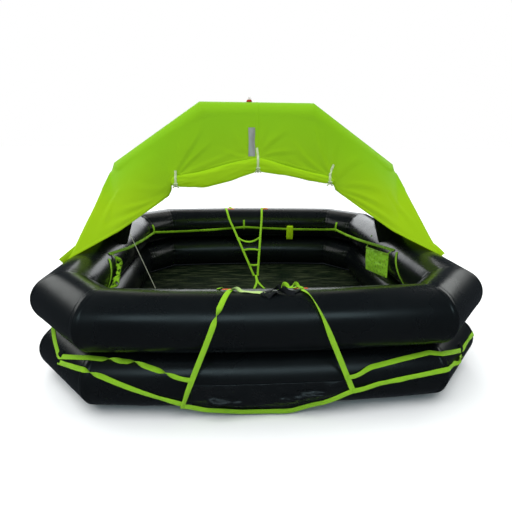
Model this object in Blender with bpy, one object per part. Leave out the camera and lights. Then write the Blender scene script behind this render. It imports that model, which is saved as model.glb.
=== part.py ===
"""Inflatable life raft for twelve, built at its real size in metres.

The raft lies on the ground with its boarding side towards -Y and +Z up. The origin is on the
ground, under the middle of the raft. Two octagonal tubes stacked on each other carry the floor,
an inflated arch and the canopy.
"""
import math

import bmesh
import bpy
from mathutils import Vector

# Buoyancy tubes: two octagonal rings, whose long front and rear tubes bow outwards
TUBE_R = 0.175
RING_STEP = 0.34
HALF_X = 1.26
HALF_Y = 1.225
CHAMFER = 0.31
BOW = 0.045
TUBE_SIDES = 24
BOW_STEPS = 6

# Arch: x and z of its knees and shoulders in the plane Y = 0
ARCH_R = 0.115
ARCH_SIDES = 16
KNEE = (1.043, 1.2155)
SHOULDER = (0.413, 1.637)
SADDLE_HALF_Y = 0.4

# Sheet, webbing and the gaps between pieces that touch
GAP = 0.0003
MITRE_GAP = 0.0002
FABRIC_T = 0.004
WEB_T = 0.003
STRAP_W = 0.04
LINE_W = 0.03
SMALL_W = 0.024
SHARP_ANGLE = 40

# Canopy: X of its columns, degrees of its rows from the top of the arch, and its lower edges
CANOPY_T = 0.006
CANOPY_HALF_Y = 0.58
COLUMN_X = (-KNEE[0], -0.65, -SHOULDER[0], -0.2, 0.0, 0.2, SHOULDER[0], 0.585, KNEE[0])
ARC = (-67.5, -45.0, -22.5, 0.0, 22.5, 45.0, 67.5)
ARC_FOOT_HALF_Y = 0.3
HEM_DEGREES = 45
LAP_DEGREES = 60
LAP_SHARE = 0.15
TAUT_SHARE = 0.3
DOOR_Y = 0.2
HEM_TIES = ((-0.65, 1.14), (0.0, 1.25), (0.585, 1.155))
HEM_SLACK = {-1: 0.055, 1: 0.0}
CURTAIN_EDGE = {-0.65: 1.20, -SHOULDER[0]: 1.25, -0.2: 1.31, 0.0: 1.345, 0.2: 1.30,
                SHOULDER[0]: 1.24, 0.585: 1.20}

# Rolled doors: z of the roll's bottom by x, and the tapes that tie it up
ROLL_BOTTOM = {-0.68: 1.13, -0.65: 1.14, -SHOULDER[0]: 1.115, -0.2: 1.17, 0.0: 1.25, 0.2: 1.215,
               SHOULDER[0]: 1.175, 0.585: 1.155, 0.615: 1.145}
ROLL_T = 0.05
TIE_X = (-0.634, 0.0, 0.569)
TIE_W = 0.024
TIE_T = 0.0015
TIE_SINK = 0.0005
TIE_REACH = 0.14
TIE_LIFT = 0.005
TIE_LEVEL = 0.014

# Lamp on the arch: radius and height of its base and of its dome
LAMP_X = -0.06
LAMP_BASE = (0.024, 0.014)
LAMP_DOME = (0.016, 0.026)

# Boarding straps: x at the top of the tube and x gained for each metre along the skin
STRAPS = ((-0.22, -0.374), (0.18, 0.444))
STRAP_LIFT = 0.0012

# Aprons between the straps: z of the strap along the lower edge, by x
EDGE_STRAP = {-0.48: 0.085, -0.36: 0.05, -0.167: 0.03, 0.115: 0.024, 0.30: 0.08, 0.40: 0.136,
              0.455: 0.165}
EDGE_STRAP_Y = 1.425
EDGE_STRAP_LIFT = 0.0095
APRON_X = (-0.40, -0.34, -0.25, -0.167, -0.08, 0.0, 0.115, 0.20, 0.30, 0.34, 0.40)
APRON_TOP = 0.22
APRON_ROWS = 6
APRON_LIFT = 0.002
APRON_SET = 0.0115

# Outer lifeline: x and degrees round the lower tube of its stops, by side, -1 left and 1 right
SKIN_STEP = 5
LINE_LIFT = 0.0015
OVER_STRAP = 0.0008
CROSSING = 0.036
STRAP_FACE = {-1: TUBE_R + STRAP_LIFT + WEB_T + OVER_STRAP,
              1: TUBE_R + EDGE_STRAP_LIFT + WEB_T / 2 + OVER_STRAP}
UPPER_BRANCH = {-1: ((-0.57, 36), (-0.735, 53)), 1: ((0.57, 36), (0.75, 46), (0.92, 54))}
UPPER_MITRE = {-1: 60, 1: 50}
SIDE_MITRE = {-1: 62, 1: 20}
UPPER_END = {-1: (-0.42, 0.257), 1: (0.418, 0.25)}
PATCH = {-1: 28, 1: 20}
PATCH_FOOT = 10.5
SIDE_SAG = 12
LOWER_BRANCH = {-1: ((-0.62, -8), (-0.75, 9), (-0.90, 28)), 1: ((0.62, 6), (0.80, 14))}
LOWER_MITRE = {-1: 39, 1: 22}
LOWER_END = {-1: 0.10, 1: 0.165}

# Inner lifelines: y and degrees round the upper tube, where 180 faces the cockpit
INNER_LIFT = 0.003
LOOP_T = 0.0034
LOOP_DEGREES = (8, -27)
WALL_DEGREES = {"front": 190, "rear": 185}
MIDDLE_X = -0.07
MIDDLE_DEGREES = 185
REAR_ENDS = {-1: ((-0.05, 157), (-0.40, 135)), 1: ((-0.31, 143), (0.207, 170))}
REAR_LEFT_SHARE = 0.9
FRONT_ENDS = {-1: ((-0.46, 143), (-0.66, 205)), 1: ((-0.58, 207), (-0.36, 143))}

# Boarding ladders inside: x of both legs at the top and at the floor, and shares of the rungs
LADDER_TOP = (-0.28, 0.146)
LADDER_FOOT = (0.03, 0.07)
LADDER_Y = 0.72
LADDER_BENDS = (100, 115, 130, 145)
LADDER_DRIFT = 0.1
LADDER_LIFT = 0.002
RUNGS = (0.36, 0.58, 0.82)
RUNG_LAP = 0.4
LEGS = ((0.009, 0.336), (0.129, 0.305))
LEG_LAP = 0.02

# Pouch on the right wall: y and z of its corners, then depth and inset of its layers
POUCH = ((0.207, 0.505), (-0.291, 0.583), (-0.312, 0.382), (0.171, 0.291))
POUCH_LAYERS = ((2 * GAP, 0.03), (0.022, 0.0), (0.040, 0.02), (0.052, 0.16))

# Tag pouch on the rear lifeline: x, heights above and below the line, depth and half width
TAG_X = 0.46
TAG_Z = (0.03, -0.13)
TAG_LAYERS = ((WEB_T + 2 * GAP, 0.036), (0.014, 0.040), (0.024, 0.030))

# Rescue line knotted up on the left wall: y, z and radius
KNOTS = ((-0.385, 0.60, 0.018), (-0.41, 0.575, 0.030), (-0.44, 0.55, 0.022), (-0.475, 0.53, 0.034),
         (-0.52, 0.50, 0.024), (-0.56, 0.475, 0.032), (-0.60, 0.44, 0.016))
KNOT_SIDES = 16
KNOT_LIFT = 0.0012

# Stay from the left arch foot to the floor
STAY_TOP = 0.72
STAY_FOOT = (-0.99, 0.40)
STAY_R = 0.003
STAY_SIDES = 6
STAY_SEAT = 0.7

# Gas bottle in the crease at the rear left, its bands, valve neck and hose
BOTTLE_R = 0.065
BOTTLE_L = 0.42
BOTTLE_SIDES = 16
BOTTLE_DOME = 0.75
DOME_DEGREES = (20, 45, 70, 90)
BAND_AT = 0.1
BAND_LINK = 0.13
BAND_DEGREES = 15
NECK = ((0, 0.02), (0.012, 0.02), (0.014, 0.016), (0.05, 0.016), (0.055, 0.012))
HOSE_R = 0.007
HOSE_BENDS = ((0.03, 0.006, 0), (0.035, 0.04, 0.03), (0.03, 0.045, 0.09))
INLET_SHARE = 0.93
INLET_LIFT = 0.009

# Flat under the floor: water pockets and the webbing that rights the raft
POCKET = (0.26, 0.20)
POCKET_AT = 0.62
POCKET_Z = (0.0018, 0.0054)
RIGHTING_Z = (0.0010, 0.0046)
RIGHTING_HALF = (0.95, 1.0)

# Relief valves on the rear tube: distance out of the skin and radius
VALVE_X = 0.62
VALVE = ((0, 0.032), (0.005, 0.032), (0.006, 0.022), (0.012, 0.02))

LOWER_Z = TUBE_R
UPPER_Z = LOWER_Z + RING_STEP
CREASE_Z = (LOWER_Z + UPPER_Z) / 2
FLOOR_TOP = TUBE_R * (1 - math.cos(math.radians(720 / TUBE_SIDES)))
X_AXIS = Vector((1, 0, 0))
Y_AXIS = Vector((0, 1, 0))
Z_AXIS = Vector((0, 0, 1))

SEGMENTS = ("front", "front_right", "right", "rear_right", "rear", "rear_left", "left", "front_left")
FRONT, FRONT_RIGHT, RIGHT, REAR_RIGHT, REAR, REAR_LEFT, LEFT, FRONT_LEFT = range(8)


def material(name, colour, roughness, metallic=0.0):
    """A plain Principled material."""
    mat = bpy.data.materials.new(name)
    mat.use_nodes = True
    shader = mat.node_tree.nodes["Principled BSDF"]
    shader.inputs["Base Color"].default_value = (*colour, 1.0)
    shader.inputs["Roughness"].default_value = roughness
    shader.inputs["Metallic"].default_value = metallic
    mat.diffuse_color = (*colour, 1.0)
    return mat


def solid(name, verts, faces, mat):
    """One closed mesh object with its faces turned outwards."""
    mesh = bpy.data.meshes.new(name)
    mesh.from_pydata([tuple(v) for v in verts], [], faces)
    bm = bmesh.new()
    bm.from_mesh(mesh)
    bmesh.ops.recalc_face_normals(bm, faces=bm.faces)
    bm.to_mesh(mesh)
    bm.free()
    mesh.shade_smooth()
    mesh.set_sharp_from_angle(angle=math.radians(SHARP_ANGLE))
    mesh.materials.append(mat)
    obj = bpy.data.objects.new(name, mesh)
    bpy.context.collection.objects.link(obj)
    return obj


def loft(sections):
    """Vertices and faces of a skin through equal sections, capped at both ends."""
    count = len(sections[0])
    verts = [p for section in sections for p in section]
    faces = [tuple(range(count)), tuple(range(len(verts) - count, len(verts)))]
    for start in range(0, len(verts) - count, count):
        for j in range(count):
            k = (j + 1) % count
            faces.append((start + j, start + k, start + count + k, start + count + j))
    return verts, faces


def fused(name, shapes, mat):
    """One body out of several crossing shapes: the first one carries the others."""
    base = solid(name, *shapes[0], mat)
    for k, shape in enumerate(shapes[1:]):
        helper = solid(f"{name}_piece_{k}", *shape, mat)
        helper.hide_render = True
        helper.display_type = "WIRE"
        union = base.modifiers.new(f"piece_{k}", "BOOLEAN")
        union.operation = "UNION"
        union.solver = "MANIFOLD"
        union.object = helper
    return base


def ribbon(path, width, thick=WEB_T):
    """Flat webbing along (point, normal) pairs; its lower face runs through the points."""
    points = [Vector(p) for p, _ in path]
    sections = []
    for i, (_, normal) in enumerate(path):
        ahead = points[min(i + 1, len(points) - 1)] - points[i]
        behind = points[i] - points[max(i - 1, 0)]
        tangent = (ahead.normalized() + behind.normalized()).normalized()
        side = tangent.cross(Vector(normal)).normalized()
        up = side.cross(tangent).normalized()
        edge = side * (width / 2)
        lift = up * thick
        sections.append([points[i] - edge, points[i] + edge, points[i] + edge + lift,
                         points[i] - edge + lift])
    return loft(sections)


def rod(path, radius, sides=8):
    """A round bar or line along a list of points; radius may be one value for each point."""
    points = [Vector(p) for p in path]
    radii = radius if isinstance(radius, (list, tuple)) else [radius] * len(points)
    first = (points[1] - points[0]).normalized()
    side = first.orthogonal().normalized()
    sections = []
    for i, point in enumerate(points):
        ahead = points[min(i + 1, len(points) - 1)] - point
        behind = point - points[max(i - 1, 0)]
        tangent = (ahead.normalized() + behind.normalized()).normalized()
        side = (side - tangent * side.dot(tangent)).normalized()
        up = tangent.cross(side)
        turns = [2 * math.pi * k / sides for k in range(sides)]
        sections.append([point + (side * math.cos(a) + up * math.sin(a)) * radii[i] for a in turns])
    return loft(sections)


def turned(centre, axis, profile, sides=16):
    """A turned solid: profile holds (distance along the axis, radius) pairs."""
    axis = Vector(axis).normalized()
    side = axis.orthogonal().normalized()
    up = axis.cross(side)
    turns = [2 * math.pi * k / sides for k in range(sides)]
    sections = []
    for along, radius in profile:
        middle = Vector(centre) + axis * along
        sections.append([middle + (side * math.cos(a) + up * math.sin(a)) * radius for a in turns])
    return loft(sections)


# The octagon: corners of the tube centreline, anticlockwise from the front tube's left end
def octagon_corners():
    x_end, y_end = HALF_X - CHAMFER, HALF_Y - CHAMFER
    return [Vector(p) for p in ((-x_end, -HALF_Y, 0), (x_end, -HALF_Y, 0), (HALF_X, -y_end, 0),
                                (HALF_X, y_end, 0), (x_end, HALF_Y, 0), (-x_end, HALF_Y, 0),
                                (-HALF_X, y_end, 0), (-HALF_X, -y_end, 0))]


CORNERS = octagon_corners()
ALONG = [(CORNERS[(i + 1) % 8] - CORNERS[i]).normalized() for i in range(8)]
OUTWARD = [Vector((d.y, -d.x, 0)) for d in ALONG]


def mitre(i):
    """Outward vector of corner i, long enough for both tubes that meet there."""
    before, after = OUTWARD[i - 1], OUTWARD[i]
    return (before + after) / (1 + before.dot(after))


def bow_at(i, t):
    """How far the long front and rear tubes bow outwards, straight between their stations."""
    if i not in (FRONT, REAR):
        return 0.0
    step = min(int(t * BOW_STEPS), BOW_STEPS - 1)
    share = t * BOW_STEPS - step
    ends = [1 - (2 * k / BOW_STEPS - 1) ** 2 for k in (step, step + 1)]
    return BOW * (ends[0] + (ends[1] - ends[0]) * share)


def ring_point(i, t, e, z):
    """The point of tube i at share t of its length, e outside its centreline and z up."""
    start = CORNERS[i] + mitre(i) * e
    end = CORNERS[(i + 1) % 8] + mitre((i + 1) % 8) * e
    point = start.lerp(end, t) + OUTWARD[i] * bow_at(i, t)
    point.z = z
    return point


def share_of(i, along, e):
    """The share t of tube i where X, on the front and rear, or else Y has the value along."""
    start = CORNERS[i] + mitre(i) * e
    end = CORNERS[(i + 1) % 8] + mitre((i + 1) % 8) * e
    axis = 0 if i in (FRONT, REAR) else 1
    return (along - start[axis]) / (end[axis] - start[axis])


def skin_point(i, t, degrees, ring_z, lift):
    """A point over a tube's skin with its normal: 0 degrees is outwards, 90 up, 180 inwards."""
    a = math.radians(degrees)
    e, rise = (TUBE_R + lift) * math.cos(a), (TUBE_R + lift) * math.sin(a)
    near = [ring_point(i, min(max(t + step, 0), 1), e, 0) for step in (-0.01, 0.01)]
    along = (near[1] - near[0]).normalized()
    level = Vector((along.y, -along.x, 0))
    if t in (0, 1):
        level = mitre((i + int(t)) % 8).normalized()
    return ring_point(i, t, e, ring_z + rise), level * math.cos(a) + Z_AXIS * math.sin(a)


def tube_segment(name, i, ring_z, is_lower, mat):
    """One straight or bowed length of a ring, cut at its mitres and flat where the rings meet."""
    steps = BOW_STEPS if i in (FRONT, REAR) else 1
    sections = []
    for k in range(steps + 1):
        section = []
        for j in range(TUBE_SIDES):
            a = 2 * math.pi * j / TUBE_SIDES
            z = ring_z + TUBE_R * math.sin(a)
            z = min(z, CREASE_Z - GAP / 2) if is_lower else max(z, CREASE_Z + GAP / 2)
            point = ring_point(i, k / steps, TUBE_R * math.cos(a), z)
            trim = MITRE_GAP * (1 if k == 0 else -1 if k == steps else 0)
            section.append(point + ALONG[i] * trim)
        sections.append(section)
    return solid(name, *loft(sections), mat)


def buoyancy_rings(mat):
    for ring, ring_z in (("lower", LOWER_Z), ("upper", UPPER_Z)):
        for i, side in enumerate(SEGMENTS):
            tube_segment(f"{ring}_tube_{side}", i, ring_z, ring == "lower", mat)


def floor_sheet(mat):
    """The floor, let in between the lowest facets of the lower ring."""
    facet = math.radians(360 / TUBE_SIDES)
    inner = [TUBE_R * math.sin(facet), TUBE_R * math.sin(2 * facet)]
    height = [TUBE_R * (1 - math.cos(facet)), TUBE_R * (1 - math.cos(2 * facet))]
    sections = []
    for e, z in zip(inner, height):
        outline = []
        for i in range(8):
            steps = BOW_STEPS if i in (FRONT, REAR) else 1
            for k in range(steps):
                outline.append(ring_point(i, k / steps, -(e + 2 * GAP), z))
        sections.append(outline)
    solid("floor", *loft(sections), mat)


# The arch: five straight lengths in the plane Y = 0, mitred at knees and shoulders
def arch_path():
    return [Vector((-HALF_X, 0, UPPER_Z)), Vector((-KNEE[0], 0, KNEE[1])),
            Vector((-SHOULDER[0], 0, SHOULDER[1])), Vector((SHOULDER[0], 0, SHOULDER[1])),
            Vector((KNEE[0], 0, KNEE[1])), Vector((HALF_X, 0, UPPER_Z))]


ARCH = arch_path()
ARCH_ALONG = [(ARCH[i + 1] - ARCH[i]).normalized() for i in range(5)]
ARCH_OUT = [Vector((-d.z, 0, d.x)) for d in ARCH_ALONG]


def arch_mitre(i):
    """Outward vector of arch point i, long enough for both lengths that meet there."""
    if i == 0:
        return ARCH_OUT[0]
    if i == 5:
        return ARCH_OUT[4]
    before, after = ARCH_OUT[i - 1], ARCH_OUT[i]
    return (before + after) / (1 + before.dot(after))


def arch_ring(centre, out, radius):
    """The section of the arch at one point: 0 degrees is outwards, -90 towards the front."""
    turns = [2 * math.pi * k / ARCH_SIDES for k in range(ARCH_SIDES)]
    return [centre + (out * math.cos(a) + Y_AXIS * math.sin(a)) * radius for a in turns]


def arch_lengths(mat):
    names = ("arch_leg_left", "arch_slope_left", "arch_top", "arch_slope_right", "arch_leg_right")
    for i, name in enumerate(names):
        trim = ARCH_ALONG[i] * MITRE_GAP
        start = arch_ring(ARCH[i] + trim, arch_mitre(i), ARCH_R)
        end = arch_ring(ARCH[i + 1] - trim, arch_mitre(i + 1), ARCH_R)
        obj = solid(name, *loft([start, end]), mat)
        if i in (0, 4):
            saddle(obj, math.copysign(HALF_X, ARCH[0 if i == 0 else 5].x), mat)


def saddle(leg, x, mat):
    """Cuts the foot of an arch leg to the top of the side tube that carries it."""
    radius = TUBE_R + GAP
    turns = [2 * math.pi * k / TUBE_SIDES for k in range(TUBE_SIDES)]
    ends = [[Vector((x + radius * math.cos(a), y, UPPER_Z + radius * math.sin(a))) for a in turns]
            for y in (-SADDLE_HALF_Y, SADDLE_HALF_Y)]
    cutter = solid(leg.name + "_saddle_cutter", *loft(ends), mat)
    cutter.hide_render = True
    cutter.display_type = "WIRE"
    cut = leg.modifiers.new("saddle", "BOOLEAN")
    cut.operation = "DIFFERENCE"
    cut.object = cutter


def canopy_column(x):
    """Arch centre and outward vector of the column that lies at x."""
    for i in range(1, 4):
        low, high = ARCH[i], ARCH[i + 1]
        if low.x - 1e-6 <= x <= high.x + 1e-6:
            for k in (i, i + 1):
                if abs(ARCH[k].x - x) < 1e-6:
                    return ARCH[k].copy(), arch_mitre(k)
            t = (x - low.x) / (high.x - low.x)
            return low.lerp(high, t), ARCH_OUT[i]
    raise ValueError("no arch above this column")


def hem_point(x, side):
    """The canopy's lower edge at x on the front, side -1, or the rear, side 1."""
    if abs(abs(x) - KNEE[0]) < 1e-6:
        corner = side_hem(math.copysign(1, x), side * CANOPY_HALF_Y, LAP_DEGREES)
        tie_x, tie_z = HEM_TIES[0 if x < 0 else 2]
        t = (abs(corner.x) - KNEE[0]) / (abs(corner.x) - abs(tie_x))
        return corner.lerp(Vector((tie_x, side * DOOR_Y, tie_z)), t) - Z_AXIS * HEM_SLACK[side]
    return Vector((x, side * DOOR_Y, CURTAIN_EDGE[x]))


def side_hem(sign, y, degrees=HEM_DEGREES):
    """A point of the line along which the canopy is bonded to a side tube."""
    a = math.radians(degrees)
    radius = TUBE_R + 2 * GAP
    return Vector((sign * (HALF_X + radius * math.cos(a)), y, UPPER_Z + radius * math.sin(a)))


def arc_point(x, degrees):
    """A point of the canopy's lower face where it lies on the arch."""
    centre, out = canopy_column(x)
    a = math.radians(degrees)
    return centre + (out * math.cos(a) + Y_AXIS * math.sin(a)) * (ARCH_R + 2 * GAP)


def taut_point(sign, degrees, side):
    """A point below the knee, where the cloth is drawn straight from the arch to the side tube."""
    if side:
        hem = hem_point(sign * KNEE[0], side)
        return hem.lerp(side_hem(sign, side * CANOPY_HALF_Y, LAP_DEGREES), TAUT_SHARE)
    corner = side_hem(sign, math.copysign(CANOPY_HALF_Y, degrees), LAP_DEGREES)
    low = side_hem(sign, 0).lerp(corner, abs(degrees) / ARC[-1])
    return arc_point(sign * KNEE[0], 0).lerp(low, TAUT_SHARE)


def sheet_faces(grid, thick):
    """The grid moved by thick along its normals, which face upwards and outwards."""
    rows, cols = len(grid), len(grid[0])
    over = []
    for i in range(rows):
        row = []
        for j in range(cols):
            down = grid[min(i + 1, rows - 1)][j] - grid[max(i - 1, 0)][j]
            across = grid[i][min(j + 1, cols - 1)] - grid[i][max(j - 1, 0)]
            row.append(grid[i][j] + across.cross(down).normalized() * thick)
        over.append(row)
    return over


def panel(name, under, over, mat, trim=(0, 0, 0, 0)):
    """A closed sheet between two grids, pulled in at its first and last row and column by trim."""
    rows, cols = len(under), len(under[0])
    shift = [[Vector() for _ in range(cols)] for _ in range(rows)]
    for j in range(cols):
        shift[0][j] += (under[1][j] - under[0][j]).normalized() * trim[0]
        shift[-1][j] += (under[-2][j] - under[-1][j]).normalized() * trim[1]
    for i in range(rows):
        shift[i][0] += (under[i][1] - under[i][0]).normalized() * trim[2]
        shift[i][-1] += (under[i][-2] - under[i][-1]).normalized() * trim[3]
    verts = [grid[i][j] + shift[i][j] for grid in (under, over) for i in range(rows)
             for j in range(cols)]
    top = rows * cols
    faces = []
    for i in range(rows - 1):
        for j in range(cols - 1):
            a, b = i * cols + j, i * cols + j + 1
            middle = under[i][j] + under[i + 1][j + 1]
            if middle.x * middle.y > 0:
                halves = ((a, b, b + cols), (a, b + cols, a + cols))
            else:
                halves = ((a, b, a + cols), (b, b + cols, a + cols))
            for half in halves:
                faces += [half, tuple(top + k for k in reversed(half))]
    edge = list(range(cols)) + [i * cols + cols - 1 for i in range(1, rows)]
    edge += [(rows - 1) * cols + j for j in range(cols - 2, -1, -1)]
    edge += [i * cols for i in range(rows - 2, 0, -1)]
    for k, a in enumerate(edge):
        low, high = sorted((a, edge[(k + 1) % len(edge)]))
        faces += [(low, high, top + high), (low, top + high, top + low)]
    return solid(name, verts, faces, mat)


def canopy_grid():
    """The canopy's lower face: rows from the front hem to the rear hem, columns from left to right.

    The first and last three columns are the bonded edge, the lap that leaves the side tube and
    the taut cloth below the knee.
    """
    spread = [degrees / ARC[-1] * ARC_FOOT_HALF_Y for degrees in ARC]
    rows = []
    for k, degrees in enumerate(("front", *ARC, "rear")):
        side = {"front": -1, "rear": 1}.get(degrees)
        y = CANOPY_HALF_Y * side if side else spread[k - 1]
        row = [hem_point(x, side) if side else arc_point(x, degrees) for x in COLUMN_X]
        bonded = [side_hem(sign, y) for sign in (-1, 1)]
        if side:
            laps = [side_hem(sign, y, LAP_DEGREES) for sign in (-1, 1)]
        else:
            laps = [bonded[0].lerp(row[0], LAP_SHARE), bonded[1].lerp(row[-1], LAP_SHARE)]
        taut = [taut_point(sign, degrees, side) for sign in (-1, 1)]
        rows.append([bonded[0], laps[0], taut[0], *row, taut[1], laps[1], bonded[1]])
    return rows


def canopy_panels(mat):
    under = canopy_grid()
    over = sheet_faces(under, CANOPY_T)
    ridge, knee, centre, last = 4, 3, 7, len(COLUMN_X) + 5
    seam = MITRE_GAP
    cuts = {"side_left": (0, 8, 0, knee, (0, 0, 0, seam)),
            "side_right": (0, 8, last - knee, last, (0, 0, seam, 0)),
            "front_left": (0, ridge, knee, centre, (0, seam, seam, seam)),
            "front_right": (0, ridge, centre, last - knee, (0, seam, seam, seam)),
            "rear_left": (ridge, 8, knee, centre, (seam, 0, seam, seam)),
            "rear_right": (ridge, 8, centre, last - knee, (seam, 0, seam, seam))}
    for name, (top, bottom, left, right, trim) in cuts.items():
        parts = [[row[left:right + 1] for row in grid[top:bottom + 1]] for grid in (under, over)]
        panel(f"canopy_{name}", *parts, mat, trim)


def between(table, x):
    """The value at x of a table of points joined by straight lines."""
    keys = sorted(table)
    for low, high in zip(keys, keys[1:]):
        if low - 1e-6 <= x <= high + 1e-6:
            return table[low] + (table[high] - table[low]) * (x - low) / (high - low)
    raise ValueError("x lies outside the table")


def roll_limits(x):
    """Top and bottom of the rolled door at x, level where a tie goes round it."""
    edge = {**CURTAIN_EDGE, -KNEE[0]: hem_point(-KNEE[0], -1).z, KNEE[0]: hem_point(KNEE[0], -1).z}
    for tie_x in TIE_X:
        if abs(x - tie_x) <= TIE_LEVEL + 1e-6:
            top = min(between(edge, tie_x - TIE_LEVEL), between(edge, tie_x + TIE_LEVEL))
            return top - GAP, between(ROLL_BOTTOM, tie_x)
    return between(edge, x) - GAP, between(ROLL_BOTTOM, x)


def roll_ring(x, side, lift=0.0, degrees=range(0, 360, 30)):
    """Points round the rolled door: 0 degrees faces away from the raft, 90 is its top."""
    top, bottom = roll_limits(x)
    middle = Vector((x, side * (CANOPY_T / 2 + DOOR_Y), (top + bottom) / 2))
    points = []
    for angle in degrees:
        a = math.radians(angle)
        across, rise = (ROLL_T / 2 + lift) * math.cos(a), ((top - bottom) / 2 + lift) * math.sin(a)
        points.append(middle + Vector((0, side * across, rise)))
    return points


def door_rolls(mat):
    level = [tie_x + step for tie_x in TIE_X for step in (-TIE_LEVEL, TIE_LEVEL)]
    stations = sorted(set(ROLL_BOTTOM) - {tie_x for tie_x, _ in HEM_TIES} | set(level))
    for face_name, side in (("front", -1), ("rear", 1)):
        roll = loft([roll_ring(x, side) for x in stations])
        ties = [door_tie(x, side) for x in TIE_X]
        fused(f"door_roll_{face_name}", [roll, *ties], mat)


def curtain_point(x, side, share):
    """A point of the curtain over the door at x, share of the way from its hem to the arch."""
    for low, high in zip(COLUMN_X, COLUMN_X[1:]):
        if low <= x <= high:
            ends = [hem_point(k, side).lerp(arc_point(k, -side * ARC[0]), share)
                    for k in (low, high)]
            return ends[0].lerp(ends[1], (x - low) / (high - low))
    raise ValueError("no curtain at this x")


def door_tie(x, side):
    """A tape from the curtain's outer face, round the rolled door to the curtain's inner face."""
    outward = Vector((0, side, 0))
    above = curtain_point(x, side, TIE_REACH)
    start = above + outward * (CANOPY_T + TIE_LIFT)
    end = above - outward * TIE_LIFT
    angles = list(range(60, -241, -30))
    ring = roll_ring(x, side, -TIE_SINK, angles)
    path = [(start, outward)]
    for angle, point in zip(angles, ring):
        a = math.radians(angle)
        path.append((point, Vector((0, side * math.cos(a), math.sin(a)))))
    path.append((end, -outward))
    return ribbon(path, TIE_W, TIE_T)


def canopy_lamp(base_mat, dome_mat):
    foot = SHOULDER[1] + ARCH_R + CANOPY_T + 4 * GAP
    radius, height = LAMP_BASE
    profile = [(0, radius), (height * 0.6, radius), (height, radius * 0.8)]
    solid("lamp_base", *turned((LAMP_X, 0, foot), Z_AXIS, profile), base_mat)
    radius, rise = LAMP_DOME
    turns = [math.radians(a) for a in (0, 20, 40, 60, 80)]
    profile = [(rise * math.sin(a), radius * math.cos(a)) for a in turns]
    base = (LAMP_X, 0, foot + height + GAP)
    solid("lamp_dome", *turned(base, Z_AXIS, profile), dome_mat)


def end_point(i, x, degrees, ring_z, lift):
    """A skin point of the front or rear tube at x."""
    e = (TUBE_R + lift) * math.cos(math.radians(degrees))
    return skin_point(i, share_of(i, x, e), degrees, ring_z, lift)


def edge_strap_y(x, z):
    """How far out the strap along the apron's lower edge lies, clear of the bowed tube."""
    rise = min(max((z + STRAP_W / 2 - LOWER_Z) / TUBE_R, -1), 0)
    e = TUBE_R * math.cos(math.asin(rise))
    skin = ring_point(FRONT, share_of(FRONT, x, e), e, z)
    return max(EDGE_STRAP_Y, EDGE_STRAP_LIFT - skin.y)


def boarding_strap(i, side, x_top, slope):
    """A strap from the top of the upper tube down to the end of the apron's edge strap."""
    path, run, last = [], 0.0, None
    for degrees in range(90, -1, -15):
        point, normal = end_point(i, x_top + slope * run, degrees, UPPER_Z, STRAP_LIFT)
        if last is not None:
            run += math.hypot(point.y - last.y, point.z - last.z)
            point, normal = end_point(i, x_top + slope * run, degrees, UPPER_Z, STRAP_LIFT)
        path.append((point, normal))
        last = point
    x = min(EDGE_STRAP) if slope < 0 else max(EDGE_STRAP)
    z = EDGE_STRAP[x]
    if slope < 0:
        x_low = x_top + slope * (run + RING_STEP)
        path.append(end_point(i, x_low, 0, LOWER_Z, STRAP_LIFT))
    path.append((Vector((x, side * (edge_strap_y(x, z) - WEB_T / 2), z)), Vector((0, side, 0))))
    return ribbon(path, STRAP_W)


def apron_point(x, side, share):
    """The apron's inner face: it follows the lower tube and then hangs to the edge strap."""
    low_z = between(EDGE_STRAP, x)
    z = APRON_TOP + (low_z - APRON_TOP) * share

    def skin_y(height):
        e = math.sqrt(TUBE_R ** 2 - (height - LOWER_Z) ** 2)
        return -ring_point(FRONT, share_of(FRONT, x, e), e, height).y + APRON_LIFT

    y = skin_y(z)
    if z < LOWER_Z:
        low_y = edge_strap_y(x, low_z) - APRON_SET
        hang = (LOWER_Z - z) / (LOWER_Z - low_z)
        y = max(y, skin_y(LOWER_Z) * (1 - hang) + low_y * hang)
    return Vector((x, side * y, z))


def boarding_aprons(strap_mat, fabric_mat):
    for face_name, i, side in (("front", FRONT, -1), ("rear", REAR, 1)):
        edge = [Vector((x, side * edge_strap_y(x, z), z)) for x, z in EDGE_STRAP.items()]
        webs = [ribbon([(p, Vector((0, side, 0))) for p in edge], STRAP_W)]
        webs += [boarding_strap(i, side, x_top, slope) for x_top, slope in STRAPS]
        fused(f"boarding_straps_{face_name}", webs, strap_mat)
        rows = [[apron_point(x, side, k / APRON_ROWS) for x in APRON_X]
                for k in range(APRON_ROWS + 1)]
        under = rows if side > 0 else rows[::-1]
        panel(f"boarding_apron_{face_name}", under, sheet_faces(under, FABRIC_T), fabric_mat)


def skin_path(stops, ring_z, lift):
    """Points and normals over a tube's skin through (tube, share, degrees) stops on one tube."""
    path = []
    for (i, t, degrees), (_, next_t, next_degrees) in zip(stops, stops[1:]):
        steps = max(1, math.ceil(abs(next_degrees - degrees) / SKIN_STEP))
        if i in (FRONT, REAR):
            steps = max(steps, math.ceil(abs(next_t - t) * BOW_STEPS))
        for k in range(steps):
            share = k / steps
            path.append(skin_point(i, t + (next_t - t) * share,
                                   degrees + (next_degrees - degrees) * share, ring_z, lift))
    i, t, degrees = stops[-1]
    return path + [skin_point(i, t, degrees, ring_z, lift)]


def chain(runs, ring_z, lift):
    """One path through several tubes; each run ends on the mitre where the next one starts."""
    path = []
    for stops in runs:
        path = path[:-1] + skin_path(stops, ring_z, lift)
    return path


def web_end(x, z, out, side):
    """Where a branch lies over a strap of the front, side -1, or the rear, side 1."""
    t = share_of(FRONT, x, out)
    point = ring_point(FRONT, t, out, z)
    return Vector((point.x, -side * point.y, z)), Vector((0, side, 0))


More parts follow.
